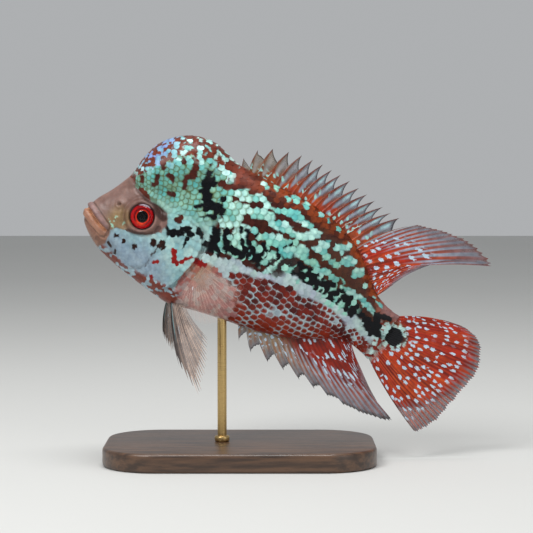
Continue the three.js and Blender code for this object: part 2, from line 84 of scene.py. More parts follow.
def toFrame(points):  # s, y, h in millimetres to the shared frame in metres
    points = np.asarray(points, float)
    s, y, h = points[..., 0], points[..., 1], points[..., 2]
    along, up = math.cos(fish["nosePitch"]), math.sin(fish["nosePitch"])
    x = fish["snoutX"] + s * along + h * up
    z = fish["snoutZ"] - s * up + h * along
    return np.stack([x, y + bendAt(s), z], -1) * 0.001


def toFish(points):
    points = np.asarray(points, float) * 1000
    x, z = points[..., 0] - fish["snoutX"], points[..., 2] - fish["snoutZ"]
    along, up = math.cos(fish["nosePitch"]), math.sin(fish["nosePitch"])
    s = x * along - z * up
    return np.stack([s, points[..., 1] - bendAt(s), x * up + z * along], -1)


def sectionValue(column, t):
    t = np.asarray(t, float)
    i = np.clip(np.floor(t).astype(int), 0, lastSection - 1)
    f = t - i
    a, b, c, d = (sections[np.clip(i + k, 0, lastSection), column] for k in (-1, 0, 1, 2))
    return b + 0.5 * f * (c - a + f * (2 * a - 5 * b + 4 * c - d + f * (3 * (b - c) + d - a)))


def halfWidth(t, u):
    widest = sectionValue(5, t)
    below = u < widest
    away = np.where(below, (widest - u) / widest, (u - widest) / (1 - widest))
    away = np.clip(away, 0, 1)
    body = sectionValue(4, t) * np.sqrt(np.clip(1 - away ** np.where(below, 2.1, 2.0), 0, 1))
    drop = sectionValue(7, t)
    lobe = (u - (1 - drop / 2)) / (drop / 2)
    hump = np.maximum(0, sectionValue(6, t)) * np.sqrt(np.clip(1 - lobe * lobe, 0, 1))
    nearer = np.clip(creaseSoftness - np.abs(body - hump), 0, None) / creaseSoftness
    return np.maximum(body, hump) + nearer ** 2 * creaseSoftness * np.minimum(1, np.minimum(body, hump)) / 4


def sectionEnds(t):
    back = np.stack([sectionValue(0, t), sectionValue(1, t)], -1)
    belly = np.stack([sectionValue(2, t), sectionValue(3, t)], -1)
    return back, belly


def locate(s, h):  # the section and the height on it of places seen from the side
    s, h = np.broadcast_arrays(np.asarray(s, float), np.asarray(h, float))
    low, high = np.zeros(s.shape), np.full(s.shape, float(lastSection))
    for _ in range(30):
        middle = (low + high) / 2
        back, belly = sectionEnds(middle)
        run = back - belly
        beside = run[..., 0] * (h - belly[..., 1]) - run[..., 1] * (s - belly[..., 0])
        low = np.where(beside < 0, middle, low)
        high = np.where(beside < 0, high, middle)
    back, belly = sectionEnds(low)
    run = back - belly
    u = ((s - belly[..., 0]) * run[..., 0] + (h - belly[..., 1]) * run[..., 1]) / (run ** 2).sum(-1)
    return low, u


# How far round each section a height lies, as a share from the belly (0) to the back (1)
girth = {"sections": 501, "steps": 241}
girthT = np.linspace(0, lastSection, girth["sections"])
girthU = (1 - np.cos(np.linspace(0, math.pi, girth["steps"]))) / 2
tGrid, uGrid = np.meshgrid(girthT, girthU, indexing="ij")
backGrid, bellyGrid = sectionEnds(tGrid)
tall = np.linalg.norm(backGrid - bellyGrid, axis=-1)
rise, spread = np.diff(uGrid * tall, axis=1), np.diff(halfWidth(tGrid, uGrid), axis=1)
girthShare = np.concatenate([np.zeros((girth["sections"], 1)), np.cumsum(np.hypot(rise, spread), 1)], 1)
girthLength = girthShare[:, -1].copy()
girthShare /= girthLength[:, None]
evenShare = np.linspace(0, 1, girth["steps"])
heightOfShare = np.array([np.interp(evenShare, row, girthU) for row in girthShare])


def heightAt(t, v):
    ti = np.clip(t / lastSection, 0, 1) * (girth["sections"] - 1)
    vi = np.clip(v, 0, 1) * (girth["steps"] - 1)
    i, j = np.minimum(ti.astype(int), girth["sections"] - 2), np.minimum(vi.astype(int), girth["steps"] - 2)
    f, g = ti - i, vi - j
    near = heightOfShare[i, j] * (1 - g) + heightOfShare[i, j + 1] * g
    far = heightOfShare[i + 1, j] * (1 - g) + heightOfShare[i + 1, j + 1] * g
    return near * (1 - f) + far * f


def skinAt(t, v, side):  # the smooth skin, in the fish's frame
    u = heightAt(t, v)
    back, belly = sectionEnds(t)
    at = belly + (back - belly) * u[..., None]
    wide = np.where((u > 1e-6) & (u < 1 - 1e-6), halfWidth(t, u), 0)
    return np.stack([at[..., 0], side * wide, at[..., 1]], -1)


def lineDistance(s, h, line):  # distance to a line of points, signed: positive on its left as it runs
    best = np.full(np.shape(s), 1e9)
    sign = np.ones(np.shape(s))
    along = np.zeros(np.shape(s))
    for i in range(len(line) - 1):
        a, b = np.array(line[i], float), np.array(line[i + 1], float)
        run = b - a
        f = np.clip(((s - a[0]) * run[0] + (h - a[1]) * run[1]) / (run @ run), 0, 1)
        ds, dh = s - a[0] - f * run[0], h - a[1] - f * run[1]
        far = np.hypot(ds, dh)
        nearer = far < best
        best = np.where(nearer, far, best)
        sign = np.where(nearer, np.sign(run[0] * dh - run[1] * ds + 1e-12), sign)
        along = np.where(nearer, (i + f) / (len(line) - 1), along)
    return best, sign, along


def inside(s, h, outline):  # depth inside a closed outline, negative outside it
    far, _, _ = lineDistance(s, h, list(outline) + [outline[0]])
    odd = np.zeros(np.shape(s), bool)
    for (s0, h0), (s1, h1) in zip(outline, list(outline[1:]) + [outline[0]]):
        crossing = (h0 > h) != (h1 > h)
        odd ^= crossing & (s < s0 + (h - h0) / ((h1 - h0) or 1e-9) * (s1 - s0))
    return np.where(odd, far, -far)


def rand(i, j, seed):  # the same number each run for a place on a lattice
    mixed = (i.astype(np.int64) * 374761393 + j.astype(np.int64) * 668265263 + seed * 974634777) & 0xFFFFFFFF
    mixed = ((mixed ^ (mixed >> 13)) * 1274126177) & 0xFFFFFFFF
    return ((mixed ^ (mixed >> 16)) & 0xFFFF) / 65535


def softNoise(x, y, seed=0):  # smooth noise from -1 to 1
    x, y = np.broadcast_arrays(np.asarray(x, float), np.asarray(y, float))
    i, j = np.floor(x).astype(np.int64), np.floor(y).astype(np.int64)
    f, g = x - i, y - j
    f, g = f * f * (3 - 2 * f), g * g * (3 - 2 * g)
    low = rand(i, j, seed) * (1 - f) + rand(i + 1, j, seed) * f
    high = rand(i, j + 1, seed) * (1 - f) + rand(i + 1, j + 1, seed) * f
    return (low * (1 - g) + high * g) * 2 - 1


def step(low, high, x):
    f = np.clip((x - low) / (high - low), 0, 1)
    return f * f * (3 - 2 * f)


def tone(red, green, blue):  # a screen colour as a light colour
    levels = [c / 255 for c in (red, green, blue)]
    return np.array([c / 12.92 if c <= 10 / 255 else ((c + 0.055) / 1.055) ** 2.4 for c in levels])


def blend(under, over, share):
    share = np.clip(share, 0, 1)[..., None]
    return under * (1 - share) + over * share


def bell(x, width):
    return np.exp(-((x / width) ** 2))


# Markings: where each colour lies on the fish, shared by the skin and the scales
marks = {
    "face": [(-3, 2.6), (0.6, 11), (12, 25), (16.4, 23.6), (21.8, 19.3), (30.4, 16.8), (38.4, 14.7),
             (41, 10.8), (39.2, 5.0), (36.7, 3.0), (33.4, 1.0), (29.0, 0.2), (23.8, -0.4), (18.6, -0.6),
             (15.8, -2.9), (16.0, -9.6), (12, -14), (0, -14)],
    "throat": [(14, -10.5), (28.5, -15.9), (39.5, -17.0), (49.5, -17.1), (56, -19), (58, -30), (30, -30),
               (8, -22)],
    "chest": [(58.2, -1.0), (64, -0.4), (72, -1.6), (82, -6.2), (86, -15), (88, -30), (52, -30), (55.2, -11)],
    "belly": [(75.0, -3.4), (78.6, 0.2), (88.2, 1.7), (93.6, 2.7), (99.6, 2.1), (105.2, 2.5), (110.6, 1.6),
             (116.6, 1.1), (121.9, 0.2), (128.4, -1.6), (134.0, -3.1), (139.9, -5.1), (146.6, -7.6),
             (156.8, -11.6), (156, -20), (120, -30), (76, -30), (80, -16)],
    "humpMint": [(18.5, 20.2), (19.1, 26.3), (22.4, 29.9), (25.7, 33.6), (29.0, 37.2), (33.1, 40.5),
                (38.1, 44.2), (43.8, 41.7), (45.7, 46.0), (50.2, 46.5), (53.2, 41.8), (58.6, 43.2),
                (64.4, 42.5), (72.6, 37.4), (72.3, 14.0), (36.6, 8.2), (28.1, 18.0), (23.5, 20.9)],
    "creaseLine": [(13.5, 27.2), (16.4, 24.3), (21.8, 19.7), (28.0, 16.9), (36.6, 14.6), (43, 15.0)],
    "gillLine": [(41.2, 2.3), (40.0, -2.2), (38.0, -7.7), (37.4, -13.9)],
    "crescent": [(23.9, -0.2), (29.0, 0.3), (33.4, 1.1), (36.7, 3.3), (37.5, 6.8)],
    "chainLine": [(50, 10.9), (62.5, 9.6), (72, 10.9), (81.5, 11.0), (92.6, 11.3), (103.6, 10.0), (118, 6.9),
                  (133, 3.6), (142, 1.9), (160, -2)],
    "paleLine": [(58.9, 2.7), (63.2, 2.9), (68.6, 3.9), (77.1, 4.3), (82.1, 4.4), (88.7, 4.1), (94.6, 3.8),
                (99.1, 7.0), (104.6, 7.7), (109.7, 5.7), (115.1, 4.8), (120.7, 3.4), (126.6, 3.1),
                (132.4, 1.0), (138.7, -0.2), (144.7, -2.6), (150.9, -5.6), (162.3, -11.0)],
    "chainReach": [(57, 4), (62, 5.5), (72, 5), (86, 4.4), (94, 3.8), (98, 3), (103, 3), (108, 5.3),
                   (132, 5.3), (139, 4), (143, 0)],  # the chain's half height by s
    "chainFlecks": [(62, 0.8), (72, -0.12), (96, -0.05), (108, 0.32)],  # the lower, the more flecks
    "eyeSpot": (161.3, -2.3),
    # Brush strokes: from s, h to s, h, and half width
    "black": [
        (49.4, 39.8, 51.9, 33.2, 1.2), (50.3, 35.5, 55.0, 24.3, 2.2), (53.0, 38.0, 53.8, 34.0, 1.1),
        (49.3, 29.7, 51.6, 33.1, 1.2), (50.1, 22.8, 60.6, 26.5, 1.2), (55.4, 25.9, 60.9, 25.8, 1.9),
        (60.8, 30.2, 62.0, 22.7, 1.0), (59.9, 24.7, 59.2, 20.7, 1.1), (54.0, 18.5, 58.0, 21.1, 0.8),
        (54.7, 12.7, 58.0, 9.9, 1.2), (61.7, 16.1, 62.8, 11.4, 1.3), (60.6, 7.7, 66.1, 7.6, 1.9),
        (66.1, 7.6, 68.0, 4.4, 0.9), (62.2, 11.9, 63.1, 8.7, 1.5), (67.6, 17.6, 68.4, 12.9, 0.8),
        (68.4, 12.9, 70.8, 8.0, 1.6), (70.6, 9.0, 75.8, 9.6, 1.8), (73.1, 20.4, 76.3, 13.8, 0.8),
        (76.6, 19.6, 80.3, 13.1, 0.9), (80.3, 13.1, 76.9, 6.7, 1.0), (81.4, 20.4, 81.0, 18.4, 0.8),
        (82.3, 13.2, 83.4, 8.5, 1.3), (83.0, 8.7, 85.8, 11.6, 0.9), (86.1, 17.5, 87.4, 15.1, 0.9),
        (86.8, 14.2, 86.8, 6.2, 0.7), (92.3, 17.7, 94.3, 13.8, 0.7), (96.2, 18.8, 98.2, 22.5, 0.6),
        (105.7, 14.2, 107.9, 8.6, 1.1), (110.4, 13.8, 112.0, 7.2, 1.3), (107.9, 8.6, 116.3, 7.4, 1.3),
        (114.7, 12.6, 117.4, 6.4, 1.0), (118.8, 8.4, 126.0, 4.7, 2.4), (123.5, 11.6, 127.0, 5.8, 1.3),
        (128.6, 9.3, 131.6, 3.2, 1.8), (125.7, 5.3, 137.0, 2.4, 1.9), (132.8, 8.0, 136.8, 0.9, 1.3),
        (136.7, 7.0, 138.6, 5.9, 1.0), (144.2, 0.5, 151.2, -0.8, 1.9), (145.3, -2.3, 149.0, -4.5, 1.3),
        (149.0, 4.9, 152.1, -3.3, 2.0), (151.6, 5.7, 156.3, 4.6, 1.3), (150.6, -3.2, 154.6, -4.0, 1.9),
        (41.0, 8.4, 42.4, 5.4, 1.3), (42.7, 6.2, 47.1, 8.5, 2.0), (46.8, 9.2, 50.8, 11.3, 1.1),
        (50.1, 9.9, 52.9, 9.5, 1.1), (51.6, 7.5, 50.9, 2.5, 0.7)],
    "smoke": [
        (91.8, 11.0, 97.5, 7.5, 2.4), (98.3, 9.2, 101.7, 13.4, 2.7), (101.4, 16.2, 104.7, 13.1, 1.8),
        (92.6, 12.8, 100.3, 11.4, 2.0)],
    "blue": [
        (61.1, 34.6, 64.1, 34.3, 1.3), (63.2, 34.7, 69.3, 37.7, 1.5), (68.4, 34.5, 76.2, 36.8, 1.9),
        (76.2, 36.8, 80.9, 35.7, 1.5), (81.4, 34.4, 87.3, 34.2, 0.9), (87.0, 34.8, 91.1, 35.3, 1.2),
        (92.0, 34.9, 96.0, 35.7, 2.0), (96.8, 33.9, 101.6, 34.3, 1.7), (103.9, 32.3, 108.2, 30.3, 1.9),
        (62.2, 30.0, 66.8, 21.6, 2.3), (67.5, 29.1, 70.6, 23.1, 2.3), (72.4, 29.6, 76.3, 28.9, 2.3),
        (77.3, 30.0, 84.3, 30.5, 2.2), (85.3, 28.0, 89.5, 28.2, 1.5), (88.9, 28.0, 94.0, 27.8, 2.4),
        (96.7, 26.6, 102.0, 27.6, 1.8), (102.0, 27.6, 108.7, 30.9, 1.8), (105.1, 32.7, 107.1, 31.3, 1.6),
        (63.9, 19.8, 75.6, 21.4, 1.8), (73.9, 20.0, 79.1, 21.7, 1.8), (75.5, 17.8, 76.4, 11.6, 1.0),
        (79.2, 21.3, 82.9, 19.2, 1.2), (82.4, 20.4, 87.9, 21.1, 1.8), (87.9, 21.1, 88.4, 16.2, 1.3),
        (88.4, 16.2, 85.8, 11.6, 1.2), (92.2, 21.3, 96.5, 21.5, 1.9), (92.3, 19.2, 99.0, 16.7, 2.4),
        (97.7, 22.0, 99.4, 23.3, 1.2), (100.4, 18.7, 105.7, 20.0, 2.4), (102.8, 21.8, 105.2, 21.2, 1.6),
        (106.4, 18.1, 112.0, 16.6, 1.9), (112.7, 14.7, 116.6, 14.1, 1.8), (116.4, 14.7, 124.5, 14.2, 1.8),
        (123.5, 13.1, 124.8, 11.4, 1.2), (126.1, 15.6, 128.4, 13.5, 1.1), (128.5, 11.4, 133.8, 10.6, 1.6),
        (133.8, 10.6, 140.3, 8.7, 1.6), (139.7, 8.5, 144.0, 6.5, 1.5), (142.9, 7.6, 147.5, 5.0, 1.5),
        (144.9, 11.9, 150.3, 9.0, 1.0), (64.8, 16.5, 68.1, 7.0, 0.9), (70.3, 14.3, 70.4, 12.2, 1.1),
        (71.9, 17.8, 74.2, 12.2, 1.5), (79.0, 9.7, 81.4, 15.7, 1.0), (87.5, 7.2, 89.5, 9.4, 1.2),
        (92.4, 7.6, 91.5, 4.4, 1.2), (112.3, 25.4, 112.5, 24.8, 3.0), (114.4, 29.1, 115.0, 28.6, 1.5),
        (109.4, 24.3, 110.1, 24.5, 1.9), (115.4, 23.0, 115.6, 22.3, 2.0), (118.5, 20.5, 122.6, 21.0, 1.9),
        (118.9, 28.7, 124.2, 30.0, 2.0), (122.2, 27.7, 122.7, 27.2, 1.7), (125.4, 23.2, 128.5, 24.4, 2.4),
        (131.7, 19.9, 134.8, 21.1, 2.3), (138.3, 15.9, 138.9, 15.8, 1.6), (76.5, 43.3, 76.9, 43.0, 1.5),
        (82.1, 43.8, 82.6, 43.6, 1.1), (88.1, 41.4, 88.9, 41.3, 1.3), (92.3, 42.6, 93.3, 41.9, 1.8),
        (97.7, 41.8, 98.7, 41.1, 1.3), (106.3, 40.0, 107.3, 39.3, 1.1), (110.3, 39.0, 111.4, 38.0, 1.3),
        (116.4, 37.1, 117.7, 35.7, 1.5), (121.6, 40.5, 124.1, 37.8, 1.6), (129.4, 37.0, 131.0, 34.7, 1.3),
        (132.7, 30.3, 133.3, 29.8, 1.2)],
    "humpMaroon": [
        (39.7, 47.8, 43.3, 39.1, 1.2), (43.3, 39.1, 43.2, 35.6, 1.8), (43.2, 35.6, 40.9, 32.3, 1.4),
        (40.9, 32.3, 41.3, 28.3, 1.3), (28.4, 29.6, 28.0, 24.4, 1.2), (33.4, 31.2, 34.8, 30.6, 1.7),
        (35.6, 23.2, 37.9, 23.2, 1.3), (28.2, 36.3, 29.4, 33.8, 1.2), (30.5, 39.5, 31.6, 39.1, 1.4),
        (23.3, 33.8, 23.6, 33.6, 1.4), (22.9, 37.8, 23.2, 37.3, 1.1), (21.6, 25.8, 22.0, 25.1, 1.2),
        (26.5, 19.1, 27.0, 18.7, 0.9), (44.0, 14.3, 44.9, 14.4, 1.7), (36.5, 41.2, 37.4, 39.7, 1.1),
        (37.4, 44.6, 37.9, 44.1, 1.2), (57.2, 36.2, 63.7, 37.5, 1.4), (57.2, 37.7, 59.3, 39.8, 1.0),
        (49.1, 43.3, 49.3, 43.0, 0.7)],
    "humpPearl": [
        (58.3, 42.9, 59.1, 39.9, 0.8), (61.3, 42.6, 61.4, 40.5, 0.8), (63.0, 42.5, 63.7, 38.8, 0.9),
        (65.2, 41.2, 66.6, 39.2, 0.8), (55.2, 42.4, 55.6, 39.7, 0.9), (53.4, 44.3, 54.0, 43.8, 0.8),
        (30.9, 46.2, 31.1, 46.0, 1.4), (25.0, 41.6, 25.2, 41.4, 1.3), (27.8, 42.0, 28.0, 39.8, 1.0),
        (31.0, 42.7, 32.3, 41.3, 1.2), (34.8, 43.6, 36.1, 46.4, 1.0), (37.6, 47.0, 38.0, 46.8, 1.3),
        (42.5, 48.2, 43.5, 44.0, 1.0), (44.2, 43.0, 45.6, 40.0, 1.0), (25.3, 37.6, 25.6, 37.3, 1.2),
        (25.6, 35.3, 25.9, 34.9, 1.2), (31.8, 36.2, 32.1, 35.7, 1.5), (34.3, 38.9, 34.6, 38.4, 1.7),
        (39.1, 41.7, 39.6, 40.7, 1.5), (44.5, 50.7, 45.0, 50.4, 0.8), (47.2, 49.8, 47.5, 49.7, 0.6),
        (51.1, 50.2, 51.4, 49.9, 0.7), (53.4, 48.8, 53.7, 48.6, 0.8), (35.9, 50.0, 36.2, 49.8, 0.8),
        (31.6, 50.1, 32.3, 50.1, 0.6), (39.9, 52.0, 40.3, 51.9, 0.5), (44.5, 53.5, 44.9, 53.4, 0.7),
        (27.5, 47.4, 28.0, 47.1, 0.8), (53.8, 44.1, 54.2, 43.6, 1.0), (56.3, 42.6, 56.8, 42.3, 0.8),
        (47.9, 45.0, 51.0, 44.5, 1.0), (52.3, 42.3, 52.7, 41.9, 0.8), (59.1, 41.8, 59.5, 41.5, 0.6),
        (61.1, 41.3, 62.2, 39.9, 0.6), (24.0, 31.7, 24.3, 31.5, 0.9), (22.0, 31.0, 22.2, 30.6, 0.9),
        (21.3, 28.9, 21.5, 28.6, 0.7), (53.9, 51.8, 54.2, 51.7, 0.4), (48.4, 52.9, 48.7, 52.8, 0.5)],
    "cheekSpots": [
        (19.2, -4.2, 19.3, -4.2, 1.2), (23.4, -4.9, 23.4, -5.0, 1.0), (29.4, -5.9, 29.6, -5.9, 1.2),
        (37.2, -1.2, 37.3, -1.5, 1.7), (41.3, 0.5, 42.4, -1.4, 1.4), (40.5, -1.8, 40.8, -1.8, 1.0),
        (17.1, -8.7, 19.1, -10.0, 0.7), (21.7, -11.1, 21.9, -13.2, 0.6), (11.9, -6.6, 13.8, -8.5, 0.6)],
    "red": [
        (47.3, -0.3, 49.0, -4.4, 1.2), (49.1, -4.7, 50.9, -5.9, 1.4), (50.9, -6.0, 56.4, -0.7, 0.9),
        (41.1, -9.5, 42.2, -8.8, 0.8), (41.2, -16.5, 41.7, -17.1, 0.9), (58.8, -1.8, 62.4, -2.2, 1.4)],
    "behindEye": [(29.5, 17.0, 34.0, 15.0, 1.2), (34.0, 14.8, 37.4, 12.2, 2.3)],
}
hues = {
    "face": tone(124, 96, 88), "faceDark": tone(98, 68, 58), "faceTan": tone(132, 108, 68),
    "facePink": tone(142, 108, 101), "crease": tone(48, 18, 12), "upperLip": tone(133, 104, 101),
    "lowerLip": tone(156, 113, 92), "mouth": tone(178, 128, 98),
    "cheek": tone(128, 172, 178), "cheekLilac": tone(138, 153, 173), "cheekPale": tone(170, 204, 201),
    "throatRed": tone(122, 58, 46), "throatBlue": tone(158, 184, 196),
    "turquoise": tone(102, 194, 190), "mint": tone(146, 203, 182), "pearl": tone(184, 224, 219),
    "lilac": tone(112, 142, 196), "blueRim": tone(62, 120, 112), "oliveRim": tone(86, 98, 56),
    "olive": tone(112, 122, 66), "maroon": tone(58, 20, 14), "brown": tone(72, 38, 20),
    "backRed": tone(120, 54, 38), "orange": tone(140, 60, 24), "black": tone(1, 3, 8),
    "smoke": tone(46, 40, 38), "pale": tone(176, 202, 199), "paleLilac": tone(164, 174, 190),
    "red": tone(134, 12, 10), "bellyRed": tone(126, 34, 20), "bellyDark": tone(66, 14, 14),
    "bellyBright": tone(148, 52, 30), "bellyRim": tone(172, 191, 198), "pink": tone(160, 128, 122),
    "chestPale": tone(168, 156, 154), "rose": tone(160, 58, 66), "tan": tone(170, 122, 94),
    "stalkBare": tone(136, 100, 98),
}


def strokeDepth(s, h, strokes):  # depth inside the nearest stroke, negative outside them all
    best = np.full(np.shape(s), -9.0)
    for s0, h0, s1, h1, radius in strokes:
        ds, dh = s1 - s0, h1 - h0
        f = np.clip(((s - s0) * ds + (h - h0) * dh) / max(ds * ds + dh * dh, 1e-9), 0, 1)
        best = np.maximum(best, radius - np.hypot(s - s0 - f * ds, h - h0 - f * dh))
    return best


def valueAt(s, name):  # what a line of marks holds at s
    line = np.array(marks[name])
    return np.interp(s, line[:, 0], line[:, 1])


def farFrom(at, s, h):
    return np.hypot(s - at[0], h - at[1])


def cover(under, over, share):  # lay one set of scale colours over another
    return [blend(a, b, share) for a, b in zip(under, over)]


def stain(look, name, share):  # lay one colour over a scale's middle and rim
    return cover(look, [hues[name]] * 2, share)


def paint(s, h, side, jitter):
    # Gives the colours of a scale's middle and rim, how strong the rim is and how much the middle takes
    shift = 40.0 * (side > 0)
    wander = 0.45 + 1.0 * (side > 0)  # the right side's markings stray from the left's

    def noise(wide, tall, seed):
        return softNoise((s + shift) / wide, h / tall, seed)

    n1, n2, n3 = noise(2.4, 2.4, 1), noise(5.5, 5.5, 2), noise(9, 6, 9)
    ws, wh = s + wander * n1, h + wander * noise(2.4, 2.4, 3)
    t, u = locate(s, h)
    fullHeight = np.hypot(sectionValue(0, t) - sectionValue(2, t), sectionValue(1, t) - sectionValue(3, t))
    backEdge = (1 - u) * fullHeight
    # Flank: turquoise rows on maroon, orange along the back
    ground = blend(hues["maroon"], hues["brown"], step(75, 125, s) * 0.7 + 0.4 * n2)
    ground = blend(ground, hues["backRed"], step(11, 5, backEdge + 2 * n1) * step(80, 68, s))
    glow = step(8, 2, backEdge + 2.5 * n1) * step(64, 74, s)
    ground = blend(ground, hues["orange"], glow * (0.8 - 0.3 * n2))
    mottle = step(0.1, 0.4, noise(2.2, 1.8, 27) + 0.35 * jitter) * step(13, 8, backEdge)
    ground = blend(ground, hues["maroon"], mottle * step(60, 72, s) * 0.75)
    bright = strokeDepth(ws, wh, marks["blue"]) + 0.25 * jitter - 0.3 * step(96, 112, s)
    bright = step(-0.12, 0.12, bright)
    blue = blend(hues["turquoise"], hues["mint"], 0.5 + 0.5 * n2 + 0.4 * jitter)
    blue = blend(blue, hues["pearl"], step(-0.3, 0.9, n3 + 0.5 * jitter + step(90, 64, s) * 0.7) * 0.75)
    blue = blue * (1 - 0.2 * step(92, 120, s))[..., None]
    fromChain = np.abs(h - valueAt(s, "chainLine") - 0.6)
    chain = step(0.5, -0.5, fromChain - valueAt(s, "chainReach") + n1)
    ground = blend(ground, hues["black"], chain)
    rim = blend(hues["blueRim"], hues["oliveRim"], step(86, 70, s))
    look = cover([ground, ground * 0.85], [blue, rim], bright)
    rimShare = 0.25 + 0.3 * bright * step(96, 70, s)
    # Pale band and belly
    under = h - valueAt(s, "paleLine") - 0.9 + 0.8 * n1 + 0.6 * jitter
    under = step(0.25, -0.25, under)
    band = blend(hues["pale"], hues["paleLilac"], 0.4 + 0.6 * n2 + 0.3 * jitter)
    look = cover(look, [band, band * 0.78], under)
    depth = inside(s + 0.6 * n1, h + 0.6 * n2, marks["belly"])
    belly = step(-0.3, 0.3, depth)
    gaps = noise(6, 4.5, 11)
    rows = softNoise((s + shift) / 4.5, (h + 0.22 * s) / 1.5, 16)
    reds = blend(hues["bellyRed"], hues["bellyDark"], 0.35 + 0.7 * noise(3, 3, 14) + 0.4 * jitter)
    reds = blend(reds, hues["bellyBright"], step(-8, -17, h + 2 * n2) * 0.6)
    reds = blend(band, reds, step(-0.8, -0.65, gaps + 0.3 * jitter + 0.1 * depth / 6))
    joined = step(0.35, 0.85, gaps - 0.4 * rows + step(-14, -21, h) * 0.25)
    look = cover(look, [reds, blend(hues["bellyRim"], hues["bellyRed"], joined * 0.5)], belly)
    rimShare = rimShare * (1 - belly) + belly
    core = 0.72 * (1 - belly) + belly * (0.75 + 0.14 * gaps - 0.2 * rows + 0.12 * jitter)
    chestDepth = inside(ws, wh, marks["chest"])
    fleck = noise(1.7, 1.3, 18)
    stray = step(68, 82, s) * (4.6 * noise(2.6, 1.9, 19) + 2.0 * jitter - 2.6)
    chest = step(-0.6, 0.8, chestDepth + stray)
    fan = softNoise(np.arctan2(h + 4, s - 60) * 14, np.hypot(s - 60, h + 4) / 9, 12)
    pinks = blend(hues["pink"], hues["tan"], step(76, 60, s) * step(-20, -4, h) * 0.9)
    rosy = n2 * 0.5 + 0.5 * fleck + step(-6, -17, h) * 0.5 + step(7, 0, chestDepth) * 0.3
    pinks = blend(pinks, hues["rose"], step(0.1, 0.6, rosy) * 0.5)
    pinks = blend(pinks, hues["chestPale"], step(0.0, 0.4, fan * 0.5 - 0.7 * fleck) * 0.75)
    look = cover(look, [pinks, pinks * 0.9], chest)
    rimShare = rimShare * (1 - chest * 0.8)
    # Head: turquoise hump over a pale cheek
    front = step(62.5, 60.5, s + 1.2 * n1 + 3 * under) * step(0.5, -0.5, inside(s, h, marks["chest"]))
    minty = inside(ws, wh, marks["humpMint"])
    darker = 0.3 + 0.5 * n1 * n2 + 0.55 * step(-0.5, 1.5, minty) * step(66, 58, s)
    crown = blend(hues["backRed"], hues["maroon"], darker)
    mint = np.maximum(step(-0.15, 0.15, minty + 0.4 * jitter), step(15, 13, h + n1))
    mint = mint * step(0.12, -0.12, strokeDepth(ws, wh, marks["humpMaroon"]) + 0.2 * jitter)
    upper = step(14, 20, h)
    cool = blend(hues["mint"], hues["turquoise"], 0.45 + 0.7 * n2 + 0.4 * jitter)
    mossy = step(0.1, 0.8, n3 + 0.4 * n1) * 0.5 * upper
    cool = blend(cool * (1 - 0.24 * upper)[..., None], hues["olive"], mossy)
    cheek = blend(hues["cheekPale"], hues["cheek"], 0.5 + 0.6 * n2 + 0.35 * jitter)
    cheek = blend(cheek, hues["cheekLilac"], step(6, -9, h + 3 * n2) * step(48, 30, s + 0.8 * h) * 0.8)
    cool = blend(cool, cheek, step(24, 9, h))
    head = cover([crown, crown * 0.9], [cool, blend(hues["oliveRim"], cool * 0.78, step(22, 12, h))], mint)
    frost = step(26, 23, s - 0.35 * (h - 30)) * step(24, 28, h)
    frost = frost * step(0.22, 0.34, softNoise(s / 1.1, h / 1.1, 22) + 0.6 * jitter)
    flecks = step(0.36, 0.5, noise(1.1, 1.1, 21) + 0.25 * jitter) * step(41, 46, h + 0.2 * s - 8) * 0.75
    pearls = step(-0.12, 0.12, strokeDepth(ws, wh, marks["humpPearl"]) + 0.2 * jitter)
    pearls = np.maximum(np.maximum(pearls, flecks), frost * 0.9)
    shiny = blend(hues["turquoise"], hues["pearl"], 0.6 + 0.5 * jitter)
    shiny = blend(shiny, hues["lilac"], step(36, 26, s) * step(26, 36, h) * (0.75 + 0.25 * jitter))
    head = cover(head, [shiny, shiny * 0.85], pearls)
    look = cover(look, head, front)
    headRim = 0.4 - 0.25 * step(12, 18, h) + 0.6 * step(14, 22, h) * mint * (1 - pearls)
    rimShare = rimShare * (1 - front) + front * headRim
    core = core * (1 - front) + front * 0.72
    throat = step(-1.0, 1.0, inside(ws, wh, marks["throat"])) * step(62, 58, s)
    flecks = step(0.0, 0.12, noise(1.7, 1.2, 24) + 0.3 * jitter)
    reds = blend(hues["throatRed"], hues["throatBlue"], flecks * 0.95)
    look = cover(look, [reds, reds * 0.85], throat)
    # Spots, chain and gill marks
    smoke = strokeDepth(ws, wh, marks["smoke"]) + 1.2 * softNoise(s / 1.4, h / 1.4, 17)
    look = stain(look, "smoke", step(-0.6, 0.8, smoke) * 0.85)
    black = strokeDepth(s + 0.5 * n1, h + 0.5 * n2, marks["black"])
    black = step(-0.1, 0.1, black + 0.3 * noise(1.1, 1.1, 13) + 0.1 * jitter)
    look = stain(look, "black", black)
    flecks = softNoise((s - 0.34 * h + shift) / 1.3, h / 3, 15) + 0.3 * jitter - valueAt(s, "chainFlecks")
    flecks = step(0, 0.1, flecks) * chain * (1 - black * step(100, 96, s)) * step(141, 138, s)
    look = cover(look, [blend(blue, hues["mint"], 0.5), blue * 0.7], flecks)
    dark = step(-0.12, 0.12, strokeDepth(s + 0.4 * n1, h + 0.4 * n2, marks["cheekSpots"]))
    look = cover(look, [hues["crease"] * 0.6] * 2, dark)
    red = step(-0.12, 0.12, strokeDepth(s + 0.4 * n1, h + 0.4 * n2, marks["red"]))
    look = stain(look, "red", red)
    look = stain(look, "crease", step(0.42, 0.12, lineDistance(s, h, marks["gillLine"])[0]) * 0.85)
